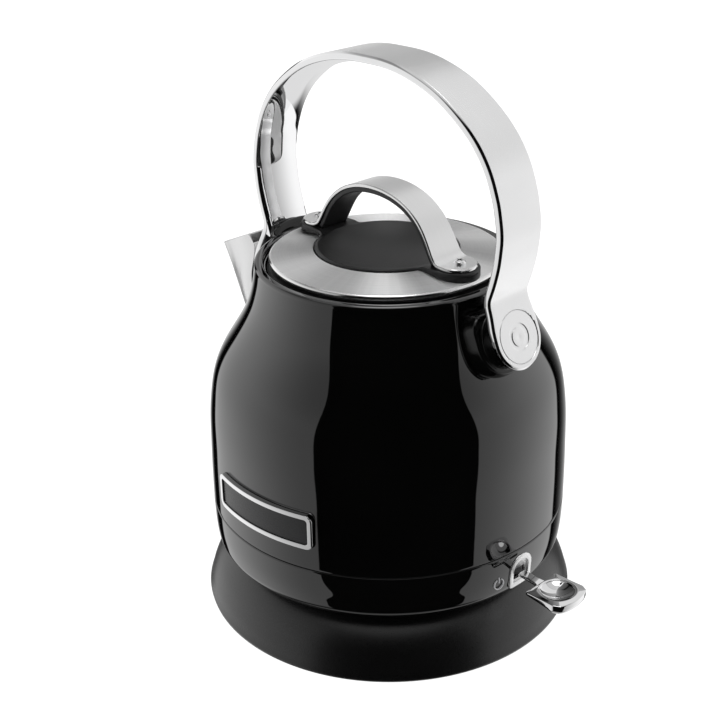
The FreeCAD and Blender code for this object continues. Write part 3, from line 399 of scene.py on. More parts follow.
CAD_LOOK = {
    "base_bottom_plate": M_BASE, "base_feet": M_RUBBER, "base_screws": M_SCREW, "base_socket": M_INNER,
    "base_contacts": M_BRASS, "cord_gland": M_RUBBER, "kettle_connector": M_INNER, "connector_contacts": M_BRASS,
    "bottom_cover": M_BASE, "bottom_cover_screws": M_SCREW, "heater_plate": M_VESSEL, "floor_seal": M_SEAL,
    "heat_spreader": M_HEAT, "heating_element": M_ELEMENT, "control_unit": M_INNER, "snap_disc": M_BRASS,
    "trip_pivot_pin": M_SCREW, "switch_pivot_pin": M_SCREW, "power_icon": M_ICON, "lamp_board": M_BOARD,
    "handle_screws": M_SCREW, "lid_screws": M_CHROME, "lid_inner": M_INNER, "lid_seal": M_SEAL,
    "switch_rocker": M_INNER, "trip_lever": M_INNER, "filter_frame": M_INNER, "filter_mesh": M_MESH,
}
for name, mat in CAD_LOOK.items():
    ob = NODES[name]
    ob.data.materials.clear()
    ob.data.materials.append(mat)

# ------------------------------------------------------------------ power base
base_out = spline([(91.7, 1.6), (90.9, 4), (89.9, 7.4), (88.5, 11), (86.6, 14.8), (84.0, 18.4), (80.4, 22.0), (75.8, 25.4),
                   (70.6, 28.2)], 70)
base_in = spline([(70.0, 25.8), (74.6, 23.6), (79.2, 20.0), (83.0, 15.4), (86.4, 9), (87.8, 5), (88.4, 0.4)], 40)
base_top = [(68.0, 28.2), (34.0, 28.2), (33.2, 27.5), (30.8, 27.5), (30.0, 28.2),
            (22.0, 28.2), (21.4, 27.7), (18.6, 27.7), (18.6, 25.8)]
prof = [(90.2, 0.1), (91.0, 0.22), (91.5, 0.7)] + [tuple(p) for p in base_out] + soften(base_top, 0.3, closed=False) + [tuple(p) for p in base_in]
piece("base_cover_shell", "base", lathe("base_cover_shell", prof), M_BASE, "base_plastic", "base_cover")

# ------------------------------------------------------------------ lower band
band_out = spline([(83.2, 30.7), (84.5, 31.8), (85.5, 33.6), (85.95, 36), (86.35, 40), (86.65, 46), (86.8, 52.8)], 50)
band_in = spline([(84.6, 53.4), (84.2, 46), (83.7, 39), (83.1, 35.4), (82.2, 33.9), (80.6, 33.3)], 30)
prof = [(80.6, 31.2)] + [tuple(p) for p in band_out] + [(86.65, 53.25), (86.3, 53.4)] + [tuple(p) for p in band_in]
slot_o = arc(0, 42.3, 5.2, 0, 180, 24) + [(-5.2, 36.0), (5.2, 36.0)]
slot_v = [(76.0, y, z) for y, z in slot_o] + [(96.0, y, z) for y, z in slot_o]
k = len(slot_o)
slot_f = [tuple(range(k)), tuple(range(2 * k - 1, k - 1, -1))] + [(i, (i + 1) % k, k + (i + 1) % k, k + i) for i in range(k)]
piece("lower_band_ring", "kettle", lathe("lower_band_ring", prof), M_BAND, "band_gloss", "lower_band",
      cuts=[("DIFFERENCE", cutter("slot_tool", slot_v, slot_f))])

# ------------------------------------------------------------------ body shell and spout
SHELL = [(86.8, 54.1), (86.75, 65), (86.6, 75), (86.35, 85), (85.7, 100), (84.8, 108), (82.2, 120), (78.6, 128),
         (73.7, 136), (68.9, 144), (65.2, 152), (63.4, 158), (62.0, 165), (61.3, 170.6)]
shell_out = spline(SHELL, 150)


def shell_r(z):
    return float(np.interp(z, shell_out[:, 1], shell_out[:, 0]))


tang = np.gradient(shell_out, axis=0)
tang /= np.hypot(tang[:, 0], tang[:, 1])[:, None]
shell_in = np.stack([shell_out[:, 0] - 1.3 * tang[:, 1], shell_out[:, 1] + 1.3 * tang[:, 0]], 1)
shell_in = [tuple(p) for p in shell_in[::-1] if 56.0 < p[1] < 168.6]
rim = [(61.28, 170.9)] + arc(59.7, 171.2, 1.6, 8, 90, 10)[0:] + arc(58.05, 171.8, 1.0, 90, 180, 6) + [(57.05, 171.2),
       (57.05, 170.8), (58.0, 170.5), (59.6, 170.0)]
prof = [(85.5, 53.8), (86.5, 53.8), (86.72, 53.92)] + [tuple(p) for p in shell_out] + rim + shell_in
ALPHA = math.radians(24.5)
E1 = np.array([math.cos(ALPHA), 0, math.sin(ALPHA)])
NN = np.array([-math.sin(ALPHA), 0, math.cos(ALPHA)])
TIP = np.array([-122.3, 0, 148.8])
HORN = [(0, 0.0, 36.4, 8.6), (6, 0.66, 36.9, 9.2), (12, 1.3, 34.8, 10.0), (18.4, 2.0, 31.0, 11.2), (22.5, 2.45, 29.8, 12.1),
        (26.6, 2.9, 29.8, 13.2), (33.9, 3.7, 32.6, 15.2), (42, 4.6, 37.6, 17.4), (52, 5.7, 46.5, 20.0), (63, 6.9, 56.0, 22.0),
        (76, 8.4, 64.0, 23.0)]
DROP = [(0.0, 0.0), (0.035, 0.17), (0.13, 0.33), (0.3, 0.56), (0.48, 0.76), (0.65, 0.91), (0.8, 0.985), (0.9, 1.0),
        (1.0, 1.0)]
HN = 144
horn_t = spline(HORN, 400)


horn_side = spline([(36.0 * t, -9.0 * f) for t, f in reversed(DROP[1:])] + [(36.0 * t, 9.0 * f) for t, f in DROP], 120)
horn_rear = [(36.0, 9.0 - 18.0 * k / (HN - 119)) for k in range(1, HN - 119)]
horn_ring = np.array([tuple(q) for q in horn_side] + horn_rear) / np.array([36.0, 9.0])


def horn_loop(d, inset, lift=0.0):
    """Loop round the horn at a depth below its mouth; the rear of the mouth is cut lower."""
    out = []
    for t, f in horn_ring:
        cut = max(0.0, (36.4 * t - 34.6) / 0.35)
        q = cut + (1 - cut / 75.0) * d
        u0, u1, w = [float(np.interp(q, horn_t[:, 0], horn_t[:, c])) for c in (1, 2, 3)]
        u0, u1, w = u0 + 1.25 * inset, u1 - inset, w - inset
        out.append(TIP + E1 * (u0 + t * (u1 - u0)) + np.array([0, f * w, 0]) - NN * (q - lift))
    return out


def horn_cutter(name, inset, top):
    depth = [0.0] + list(np.linspace(1, 75, 60))
    loops = [horn_loop(d, inset, top if d == 0 else 0) for d in depth]
    verts = [tuple(p) for lp in loops for p in lp]
    faces = grid_faces(len(loops), HN, wrap_cols=True)
    faces += [tuple(range(HN)), tuple(range(len(verts) - 1, len(verts) - HN - 1, -1))]
    return cutter(name, verts, faces)


piece("kettle_shell_wall", "kettle", lathe("kettle_shell_wall", prof, 288), M_BODY, "body_enamel", "kettle_shell",
      cuts=[("DIFFERENCE", horn_cutter("hole_tool", 1.4, 0.4))])

env = [(0, 30.7)] + [tuple(p) for p in band_out] + [(86.8, 53.0)] + [tuple(p) for p in shell_out] + [(0, 170.6)]
env_v, env_f = lathe_grid(env, 288)
WALL = 1.4
rim_loops = []
for k in range(9):
    a = PI * k / 8
    rim_loops.append((0.7 * (1 - math.cos(a)), 0.7 * (1 - math.sin(a))))
outer_d = list(np.linspace(0.9, 75, 74))
loops = [horn_loop(d, WALL) for d in reversed(outer_d)]
loops += [horn_loop(dd, off) for off, dd in reversed(rim_loops)]
loops += [horn_loop(d, 0.0) for d in outer_d]
piece("spout_horn", "kettle", loops_mesh("spout_horn", loops), M_SPOUT, "spout_steel", "spout",
      cuts=[("DIFFERENCE", cutter("body_tool", env_v, env_f))], crease=38)

# neck ring in the darkened steel: its dark tone is painted shade of the gap between lid and shell
piece("neck_ring_lip", "kettle", lathe("neck_ring_lip", soften(
    [(56.1, 160), (56.6, 160), (57.0, 164), (57.0, 170.4), (56.1, 170.4)], 0.35)), M_RIM_PAINTED_SHADE, "rim_steel", "neck_ring")


# ------------------------------------------------------------------ ribbons: the handle and the lid strap
class Path:
    """Flat curve in the XZ plane, by length from its middle, with its outward side."""

    def __init__(self, pts):
        self.p = np.array(pts, float)
        self.s = np.r_[0, np.cumsum(np.hypot(*np.diff(self.p, axis=0).T))]
        t = np.gradient(self.p, self.s, axis=0)
        t /= np.hypot(t[:, 0], t[:, 1])[:, None]
        self.n = np.stack([-t[:, 1], t[:, 0]], 1)

    def at(self, s, h, y):
        x, z = np.interp(s, self.s, self.p[:, 0]), np.interp(s, self.s, self.p[:, 1])
        nx, nz = np.interp(s, self.s, self.n[:, 0]), np.interp(s, self.s, self.n[:, 1])
        m = math.hypot(nx, nz)
        return (x - h * nx / m, y, z - h * nz / m)


def ribbon(name, path, stations, thick, ro, ri, across=10, crown=None):
    """Band along a path.  A station is (s, half width, outline normal along s, outline normal sideways).
    The inner side may be rounded: crown gives its rise at a place along the path."""
    e = 0.16 * ro
    outer = [(ro + e, 0.0), (ro + 0.3 * e, 0.08 * e), (ro - 0.4 * e, 0.45 * e), (0.5 * ro, 0.5 * ro), (0.45 * e, ro - 0.4 * e),
             (0.08 * e, ro + 0.3 * e), (0.0, ro + e)]
    outer.append((0.0, 0.5 * (ro + thick - ri)))
    verts = []
    for s, w, ns, nw in stations:
        last = 0.5 * PI - math.atan2(2 * (crown(s, w) if crown else 0.0), max(w, 1.0))
        sec = outer + [(ri * (1 - math.cos(last * k / 5)), thick - ri + ri * math.sin(last * k / 5)) for k in range(6)]
        right = [(s - o * ns, w - o * nw, h) for o, h in sec]
        row = []
        so, wo, ho = right[0]
        for j in range(across):
            row.append((so, wo * (2 * j / across - 1), ho))
        row += right
        si, wi, hi = right[-1]
        for j in range(1, across):
            t = 1 - 2 * j / across
            row.append((si, wi * t, hi + (crown(s, wi * t) if crown else 0.0) * (1 - t * t)))
        row += [(q, -y, h) for q, y, h in reversed(right[1:])]
        verts += [path.at(q, h, y) for q, y, h in row]
        cols = len(row)
    faces = grid_faces(len(stations), cols, wrap_cols=True)
    marks = []
    for i in range(len(stations) - 1):
        marks += [0 if j < across else 1 for j in range(cols)]
    return raw_mesh(name, verts, faces, marks)


TILT = math.radians(22.25)
TAB = np.array([80.03, 157.05])
OUT = [(0.0, 267.19), (10, 267.0), (18, 266.1), (28, 263.8), (36, 261.1), (44, 257.4), (50.5, 253.4), (56, 249.4), (61, 245.2),
       (65, 241.1), (68.5, 236.7), (71.5, 232.0), (73.8, 227.4), (75.6, 222.8), (77.2, 218.0), (78.3, 213.0),
       (79.2, 207.7), (79.5, 202.8), (79.1, 197.5), (78.4, 191.8), (77.2, 186.2), (75.7, 180.8), (74.5, 177.2),
       (73.8, 174.8), (73.75, 173.0), (74.2, 171.4), (75.15, 169.0), (76.35, 166.05)]
JOIN = (TAB[0] - math.tan(TILT) * 5.6, TAB[1] + 5.6)
half = OUT + [JOIN]
full = [(-x, z) for x, z in reversed(half[1:])] + half
arch = spline(full, 1201)
down = np.array([math.sin(TILT), -math.cos(TILT)])
legs = [np.array(JOIN) + down * q for q in np.linspace(0.5, 24, 48)]
hpts = [(-p[0], p[1]) for p in reversed(legs)] + [tuple(p) for p in arch] + [tuple(p) for p in legs]
HP = Path(hpts)
S_MID = 0.5 * HP.s[-1]
S_TAB = S_MID + float(np.interp(0, [0], [0])) + (HP.s[-1] - 24.0 + 5.6 / math.cos(TILT)) - S_MID

TAB_R, HW = 14.3, 12.9
side = spline([(2.0, TAB_R), (6.0, TAB_R - 0.2), (11.5, HW + 0.4), (17.0, HW)], 46)


def handle_stations():
    v_list = []
    far = S_TAB - S_MID
    for v in np.linspace(far, 18.0, 170):
        v_list.append((v, HW, 0.0, 1.0))
    for i in range(len(side) - 1, -1, -1):
        j0, j1 = max(0, i - 1), min(len(side) - 1, i + 1)
        dv, dw = side[j1][0] - side[j0][0], side[j1][1] - side[j0][1]
        m = math.hypot(dv, dw)
        v_list.append((side[i][0], side[i][1], -dw / m, dv / m))
    v_list.append((0.8, TAB_R, 0.0, 1.0))
    for k in range(37):
        a = 0.5 * PI * k / 36
        v_list.append((-TAB_R * math.sin(a), TAB_R * math.cos(a), -math.sin(a), math.cos(a)))
    rear = [(S_TAB - v, w, -nv, nw) for v, w, nv, nw in v_list]
    front = [(2 * S_MID - s, w, -ns, nw) for s, w, ns, nw in reversed(rear[1:])]
    return front + rear


OUTN = np.array([math.cos(TILT), 0, math.sin(TILT)])
UPV = np.array([-math.sin(TILT), 0, math.cos(TILT)])


def tab_frame(side_sign):
    """Axes of a tab: sideways, up along the tab, outwards."""
    sx = np.array([side_sign, 1, 1])
    return [np.array([0, 1.0, 0]), UPV * sx, OUTN * sx], np.array([TAB[0] * side_sign, 0, TAB[1]])


recess = []
for sgn, tag in ((1, "rear"), (-1, "front")):
    b, c = tab_frame(sgn)
    recess.append(("DIFFERENCE", cutter("recess_" + tag, *lathe_grid([(0, -1.2), (11.6, -1.2), (11.78, -1.0), (11.78, 3), (0, 3)],
                                                                     192, centre=c, basis=b))))


def grip_rise(s, y):
    """Rounding of the grip's inner side, running out at the tabs."""
    v = S_TAB - S_MID - abs(s - S_MID)
    return 2.4 * float(np.interp(v, [3.0, 3.8, 4.8, 6.0, 8.0], [0, 0.3, 0.58, 0.82, 1]))


piece("handle_band", "kettle", ribbon("handle_band", HP, handle_stations(), 3.6, 0.9, 0.8, 24, grip_rise), [M_HANDLE, M_HANDLE_EDGE],
      "handle_aluminium", "handle", cuts=recess)

rows = []
for t in np.linspace(-1, 1, 33):
    place = [2 * S_MID - S_TAB + v for v in (24.0, 20.5, 9.0, 14.0)]
    deep = 3.56 + 2.4 * (1 - t * t) - 0.5 * max(0.0, abs(t) - 0.94) / 0.06
    up_, at_ = (np.array(HP.at(q, deep, 12.75 * t)) for q in place[:2])
    run = (at_ - up_) / np.linalg.norm(at_ - up_)
    rows.append([tuple(at_ + run * q) for q in (0.0, 2.5, 5.0, 7.5, 10.0)] + [HP.at(q, 1.8, 12.75 * t) for q in place[:1:-1] + place[1:2]])
v_all = [p for r in rows for p in r]
f_all = grid_faces(33, 8, wrap_cols=True) + [tuple(range(7, -1, -1)), tuple(32 * 8 + k for k in range(8))]
piece("handle_foot", "kettle", raw_mesh("handle_foot", v_all, f_all), M_HANDLE_EDGE, "handle_aluminium", even=False, crease=30)

cap_prof = [(0, -0.04), (4.0, -0.04), (4.35, -0.34), (5.85, -0.34), (6.15, -0.04), (11.4, -0.04), (11.6, -0.3), (11.6, -1.15),
            (0, -1.15)]
v_all, f_all = [], []
for sgn in (1, -1):
    b, c = tab_frame(sgn)
    v, f = lathe_grid(soften(cap_prof, 0.16, seg=4), 160, centre=c, basis=b)
    f_all += [tuple(i + len(v_all) for i in q) for q in f]
    v_all += v
piece("handle_cap_pair", "kettle", raw_mesh("handle_cap_pair", v_all, f_all), M_HANDLE, "handle_aluminium", "handle_caps")


# ------------------------------------------------------------------ bosses under the tabs
def ray_outline(poly, count):
    """Radius of a star-shaped outline by angle about the origin."""
    p = np.array(poly, float)
    q = np.roll(p, -1, axis=0)
    out = []
    for k in range(count):
        a = 2 * PI * k / count
        d = np.array([math.cos(a), math.sin(a)])
        best = 0.0
        e = q - p
        den = d[0] * e[:, 1] - d[1] * e[:, 0]
        ok = np.abs(den) > 1e-12
        t = np.where(ok, (p[:, 0] * e[:, 1] - p[:, 1] * e[:, 0]) / np.where(ok, den, 1), -1)
        s = np.where(ok, (p[:, 0] * d[1] - p[:, 1] * d[0]) / np.where(ok, den, 1), -1)
        hit = t[(t > 0) & (s >= -1e-9) & (s <= 1 + 1e-9)]
        out.append(float(hit.max()))
    return out


BN = 240


def pad_radii(top):
    """Outline of a boss pad: round below, a flat top with round corners."""
    return ray_outline([(16.6 * math.cos(a), 16.9 * math.sin(a)) for a in np.linspace(PI, 2 * PI, 97)] + arc(
        8.6, top - 8.0, 8.0, 0, 90, 32) + arc(-8.6, top - 8.0, 8.0, 90, 180, 32), BN)


def boss_mesh(name, sgn):
    b, c = tab_frame(sgn)
    pad_r = pad_radii(14.4 if sgn > 0 else 9.0)

    def ring(radius, h):
        return [c + b[0] * (rr * math.cos(2 * PI * k / BN)) + b[1] * (rr * math.sin(2 * PI * k / BN)) + b[2] * h
                for k, rr in enumerate(radius)]

    def sunk(radius, depth):
        out = []
        for k, rr in enumerate(radius):
            base = c + b[0] * (rr * math.cos(2 * PI * k / BN)) + b[1] * (rr * math.sin(2 * PI * k / BN))
            lo, hi = -45.0, -9.4
            for _ in range(40):
                mid = 0.5 * (lo + hi)
                p = base + b[2] * mid
                if math.hypot(p[0], p[1]) > shell_r(p[2]) - depth:
                    hi = mid
                else:
                    lo = mid
            out.append(base + b[2] * hi)
        return out

    loops = [sunk([r * f for r in pad_r], 0.7) for f in (0.0001, 0.2, 0.4, 0.6, 0.8, 0.95, 1.0)]
    er = 1.5
    for f in (0.25, 0.5, 0.75):
        wall = sunk(pad_r, 0.0)
        front_edge = ring([r - 1.0 for r in pad_r], -10.9)
        loops.append([a * (1 - f) + b_ * f for a, b_ in zip(wall, front_edge)])
    for k in range(9):
        a = 0.5 * PI * k / 8
        loops.append(ring([r - 1.0 - er * (1 - math.cos(a)) for r in pad_r], -10.9 + er * math.sin(a)))
    fl = 0.7
    top = 13.3 if sgn > 0 else 7.6
    stem = [min(13.3, top / max(math.sin(2 * PI * k / BN), 1e-6)) if math.sin(2 * PI * k / BN) > 0 else 13.3 for k in range(BN)]
    for k in range(5):
        a = 0.5 * PI * k / 4
        loops.append(ring([q + fl * (1 - math.sin(a)) for q in stem], -9.4 + fl * (1 - math.cos(a))))
    for k in range(5):
        a = 0.5 * PI * k / 4
        loops.append(ring([q - 0.5 * (1 - math.cos(a)) for q in stem], -4.2 + 0.5 * math.sin(a)))
    loops.append(ring([0.0001] * BN, -3.7))
    return loops_mesh(name, loops, closed=False)


piece("rear_boss", "kettle", boss_mesh("rear_boss", 1), M_BOSS, "boss_gloss", "rear_handle_boss")
piece("front_boss", "kettle", boss_mesh("front_boss", -1), M_BOSS, "boss_gloss", "front_handle_boss")

v_all = []
for az in np.linspace(-15.6, 15.6, 65):
    zt = 171.3 + 4.6 * (1 - (az / 15.7) ** 2) ** 0.75
    for r, z in ((61.0, 168.0), (65.3, 168.0), (65.4, zt - 0.9), (65.2, zt - 0.35), (64.7, zt), (64.1, zt), (63.6, zt - 0.3),
                 (61.6, 171.3 + 0.2 * (zt - 171.3)), (61.2, 170.6)):
        v_all.append((-r * math.cos(math.radians(az)), r * math.sin(math.radians(az)), z))
f_all = grid_faces(65, 9, wrap_cols=True) + [tuple(range(8, -1, -1)), tuple(64 * 9 + k for k in range(9))]
piece("front_collar", "kettle", raw_mesh("front_collar", v_all, f_all), M_BOSS, "boss_gloss", even=False, crease=40)

# ------------------------------------------------------------------ lid
lid_top = spline([(33.9, 177.55), (40, 176.9), (46, 176.2), (51.0, 175.55), (52.6, 175.3)], 40)
roll = spline([(52.6, 175.3), (53.8, 174.95), (54.5, 174.0), (54.45, 173.2), (54.1, 172.6)], 18)
prof = [(33.9, 176.3)] + [tuple(p) for p in lid_top] + [tuple(p) for p in roll[1:]] + [(53.0, 172.6), (52.4, 173.9)]
mesh = lathe("lid_disc", prof)
lid = piece("lid_disc", "lid", mesh, [M_LID, M_LIDEDGE], "lid_steel", "lid_ring")
for pol in lid.data.polygons:
    c = pol.center
    if math.hypot(c.x, c.y) > 0.0536:
        pol.material_index = 1

IN_R, LOBE_Y, LOBE_X, FIL = 33.2, 11.2, 42.8, 6.0
fx = math.sqrt((IN_R + FIL) ** 2 - (LOBE_Y + FIL) ** 2)
fa = math.degrees(math.atan2(LOBE_Y + FIL, fx))
quarter = arc(LOBE_X, 0, LOBE_Y - 0.2, 0, 90, 60) + arc(fx, LOBE_Y + FIL, FIL, 270, 180 + fa, 32) + arc(
    0, 0, IN_R, fa, 90, 90)[1:]
outline = quarter + [(-x, y) for x, y in reversed(quarter[:-1])]
outline = outline + [(x, -y) for x, y in reversed(outline[1:-1])]
LN = 720
lobe_rad = ray_outline(outline, LN)


def lid_z(r):
    return float(np.interp(r, lid_top[:, 0], lid_top[:, 1]))


def lobe_mask(a, r):
    x, y = r * math.cos(a), r * math.sin(a)
    t = (abs(x) - 30.5) / 3.0
    t = max(0.0, min(1.0, t))
    q = max(0.0, min(1.0, (LOBE_Y + 3.2 - abs(y)) / 3.2))
    return t * t * (3 - 2 * t) * q * q * (3 - 2 * q)


dish = spline([(0, 170.0), (13, 171.2), (24, 174.4), (31.0, 178.25)], 30)
loops = []
ang = [2 * PI * k / LN for k in range(LN)]
for r, z in dish:
    rr = max(r, 0.0001)
    loops.append([(rr * math.cos(a), rr * math.sin(a), z) for a in ang])
loops.append([(31.35 * math.cos(a), 31.35 * math.sin(a), 178.5 + 0.1 * lobe_mask(a, 31.35)) for a in ang])
for f in (0.0, 0.15, 0.3, 0.45, 0.6, 0.75, 0.9, 1.0):
    lp = []
    for a, ro in zip(ang, lobe_rad):
        r = 31.8 + f * (ro - 0.8 - 31.8)
        lp.append((r * math.cos(a), r * math.sin(a), 178.6 + 0.9 * lobe_mask(a, r)))
    loops.append(lp)
for k in range(1, 7):
    t = 0.5 * PI * k / 6
    loops.append([((ro - 0.8 + 0.8 * math.sin(t)) * math.cos(a), (ro - 0.8 + 0.8 * math.sin(t)) * math.sin(a),
                   178.6 + 0.9 * lobe_mask(a, ro - 0.8) - 0.8 * (1 - math.cos(t))) for a, ro in zip(ang, lobe_rad)])
loops.append([(ro * math.cos(a), ro * math.sin(a), lid_z(ro) - 0.05 if ro > 33.5 else 177.3) for a, ro in zip(ang, lobe_rad)])
loops.append([(min(ro, 33.2) * math.cos(a), min(ro, 33.2) * math.sin(a), 177.3) for a, ro in zip(ang, lobe_rad)])
for r, z in ((33.2, 175.6), (30, 173.6), (20, 169.5), (0.0001, 168.3)):
    loops.append([(r * math.cos(a), r * math.sin(a), z) for a in ang])
piece("lid_insert_dish", "lid", loops_mesh("lid_insert_dish", loops, closed=False), M_LIDPLASTIC, "lid_plastic", "lid_insert")

LVL = 181.2
STRAP = [(0.0, 208.1), (8, 207.5), (14, 206.1), (20.5, 203.4), (26, 199.6), (30.6, 194.8), (34, 189.6), (36.6, 185.0),
         (38.6, 182.4), (41.0, 181.3)]
s_arch = spline([(-x, z) for x, z in reversed(STRAP[1:])] + STRAP, 401)
foot = [(x, LVL) for x in np.linspace(41.8, 58, 20)]
SP = Path([(-x, z) for x, z in reversed(foot)] + [tuple(p) for p in s_arch] + foot)


def strap_stations():
    sm = 0.5 * SP.s[-1]
    xs = SP.p[:, 0]
    out = []
    for s in np.linspace(sm, float(np.interp(43.2, xs, SP.s)), 90):
        x = float(np.interp(s, SP.s, xs))
        w = float(np.interp(x, plan[:, 0], plan[:, 1]))
        out.append((s, w, 0.0, 1.0))
    s44 = float(np.interp(43.2, xs, SP.s))
    for k in range(1, 31):
        a = 0.5 * PI * k / 30
        out.append((s44 + 9.6 * math.sin(a), 9.6 * math.cos(a), math.sin(a), math.cos(a)))
    return [(2 * sm - s, w, -ns, nw) for s, w, ns, nw in reversed(out[1:])] + out


plan = np.array([(0, 8.5)] + [tuple(p) for p in spline([(22, 8.5), (30, 8.7), (36, 9.1), (40, 9.45), (43.2, 9.6)], 30)])
piece("lid_strap_band", "lid", ribbon("lid_strap_band", SP, strap_stations(), 1.6, 0.45, 0.35), [M_STRAP, M_LIDEDGE],
      "strap_steel", "lid_strap")

keep = [i for i in range(len(SP.p)) if SP.p[i, 1] - 1.68 * SP.n[i, 1] > 183.0 and abs(SP.p[i, 0]) < 40.5]
lin = np.array([SP.p[i] - 1.68 * SP.n[i] for i in keep])
lead = [(lin[-1][0] + 0.9, lin[-1][1] - 1.5), (lin[-1][0] + 1.7, lin[-1][1] - 2.9)]
lin_pts = [(-x, z) for x, z in reversed(lead)] + [tuple(p) for p in lin] + lead
LP = Path(lin_pts)
stations = [(s, 8.0, 0.0, 1.0) for s in np.linspace(LP.s[0], LP.s[-1], 110)]
lm = ribbon("strap_liner_band", LP, stations, 2.3, 0.2, 0.7)
bm = bmesh.new()
bm.from_mesh(lm)
bmesh.ops.holes_fill(bm, edges=[e for e in bm.edges if e.is_boundary])
bmesh.ops.recalc_face_normals(bm, faces=bm.faces)
bm.to_mesh(lm)
bm.free()
piece("strap_liner_band", "lid", lm, [M_LIDPLASTIC, M_LIDPLASTIC], "lid_plastic", "strap_liner")


# ------------------------------------------------------------------ name-plate place
def rect_loop(hw, hh, r, count):
    pts = arc(hw - r, hh - r, r, 0, 90, 12) + arc(-hw + r, hh - r, r, 90, 180, 12) + arc(-hw + r, -hh + r, r, 180, 270, 12) + arc(
        hw - r, -hh + r, r, 270, 360, 12)
    p = np.array(pts + [pts[0]])
    s = np.r_[0, np.cumsum(np.hypot(*np.diff(p, axis=0).T))]
    u = np.linspace(0, s[-1], count, endpoint=False)
    return np.stack([np.interp(u, s, p[:, 0]), np.interp(u, s, p[:, 1])], 1)


BX, BZ, BW, BH = 4.7, 73.9, 30.0, 8.7
CN = 320


def on_body(x, z, h):
    """Point at radius h in front of the body, at sideways place x."""
    return (x, -math.sqrt(h * h - x * x), z)


def badge_ring(off, h):
    lp = rect_loop(BW - off, BH - off, max(3.2 - 0.8 * off, 0.3), CN)
    return [on_body(BX + x, BZ + z, h) for x, z in lp]


sec = [(0.0, 86.5), (0.0, 88.45)] + [(0.22 - 0.22 * math.cos(t), 88.48 + 0.22 * math.sin(t)) for t in np.linspace(0, PI / 2, 6)[1:]]
sec += [(1.1, 88.7), (2.0, 88.7)] + [(2.0 + 0.22 * math.sin(t), 88.48 + 0.22 * math.cos(t)) for t in np.linspace(0, PI / 2, 6)[1:]]
sec += [(2.22, 86.5)]
piece("badge_border", "kettle", loops_mesh("badge_border", [badge_ring(o, h) for o, h in sec]), M_CHROME, "bright_chrome",
      "badge_frame")
inner = rect_loop(BW - 6.2, BH - 6.2, 0.3, CN)
slim = (0.0, 0.3, 0.6, 0.85)
loops = [[on_body(BX + x, BZ + k * z, 86.4) for x, z in inner] for k in slim]
for f, h in ((5.0, 86.4), (2.26, 86.4), (2.26, 87.75), (2.34, 87.95), (2.5, 88.0), (3.5, 88.0), (5.0, 88.0), (6.2, 88.0)):
    loops.append(badge_ring(f, h))
loops += [[on_body(BX + x, BZ + k * z, 88.0) for x, z in inner] for k in reversed(slim)]
pm = loops_mesh("badge_field_plate", loops, closed=False)
piece("badge_field_plate", "kettle", pm, M_FIELD, "badge_field", "badge_plate", even=False, smooth=False)


# ------------------------------------------------------------------ switch
def arch_loop(off, count=200):
    hw, low, mid = 7.7 - off, 33.5 + off, 42.3
    cr = max(2.0 - 0.6 * off, 0.3)
    pts = arc(0, mid, hw, 0, 180, 40) + arc(-hw + cr, low + cr, cr, 180, 270, 8) + arc(hw - cr, low + cr, cr, 270, 360, 8)
    p = np.array(pts + [pts[0]])
    s = np.r_[0, np.cumsum(np.hypot(*np.diff(p, axis=0).T))]
    u = np.linspace(0, s[-1], count, endpoint=False)
    return np.stack([np.interp(u, s, p[:, 0]), np.interp(u, s, p[:, 1])], 1)


band_curve = np.array([tuple(p) for p in band_out])


def on_band(y, z, lift):
    r = float(np.interp(max(z, 38.5), band_curve[:, 1], band_curve[:, 0])) + lift
    return (math.sqrt(r * r - y * y), y, z)


loops = [[on_band(y, z, -0.3) for y, z in arch_loop(0.0)]]
for t in np.linspace(0, PI, 17):
    loops.append([on_band(y, z, 0.05 + 0.62 * math.sin(t) ** 0.5) for y, z in arch_loop(1.4 - 1.4 * math.cos(t))])
for o, lift in ((2.95, -0.05), (3.15, -0.16), (3.4, -0.3), (3.7, -0.45)):
    loops.append([on_band(y, z, lift) for y, z in arch_loop(o)])
slot_room = soften([(3.45, 36.6), (3.45, 42.1), (-3.45, 42.1), (-3.45, 36.6)], 0.5, seg=6)
sp = np.array(slot_room + [slot_room[0]])
su = np.r_[0, np.cumsum(np.hypot(*np.diff(sp, axis=0).T))]


def slot_loop(x):
    """Edge of the lever's slot, point by point in the direction of the surround's own edge."""
    out = []
    for y, z in arch_loop(3.7):
        d = np.array([y, z - 40.0])
        d /= np.hypot(*d)
        best = None
        for i in range(len(sp) - 1):
            a, b = sp[i] - np.array([0, 40.0]), sp[i + 1] - np.array([0, 40.0])
            e = b - a
            den = d[0] * e[1] - d[1] * e[0]
            if abs(den) < 1e-9:
                continue
            q = (a[0] * e[1] - a[1] * e[0]) / den
            w = (a[0] * d[1] - a[1] * d[0]) / den
            if q > 0 and -1e-6 <= w <= 1 + 1e-6:
                best = q if best is None else max(best, q)
        out.append((x, d[0] * best, 40.0 + d[1] * best))
    return out


loops.append(slot_loop(85.4))
loops.append(slot_loop(84.5))
loops.append([(84.4, y, z) for y, z in arch_loop(3.6)])
loops.append([(84.9, y, z) for y, z in arch_loop(2.65)])
piece("switch_surround", "kettle", loops_mesh("switch_surround", loops), M_SATIN, "satin_trim", "switch_escutcheon")

# lever paddle: dished top, thick rolled edge, on a tapered neck
PC = (108.0, 0.0)
far_edge = [(114.6 + 4.59 * math.cos(a), 11.0 * math.sin(a)) for a in np.linspace(-PI / 2, PI / 2, 41)]
near_in = [(97.9, 10.6), (98.2, 7.6), (98.4, 5.2), (98.4, -5.2), (98.2, -7.6), (97.9, -10.6)]
paddle_o = soften([(114.0, -11.0)] + [q for q in far_edge if abs(q[1]) < 9.4] + [(114.0, 11.0)] + near_in, 1.1, seg=8)
PN = 240
pad_rad = ray_outline([(x - PC[0], y - PC[1]) for x, y in paddle_o], PN)
loops = []


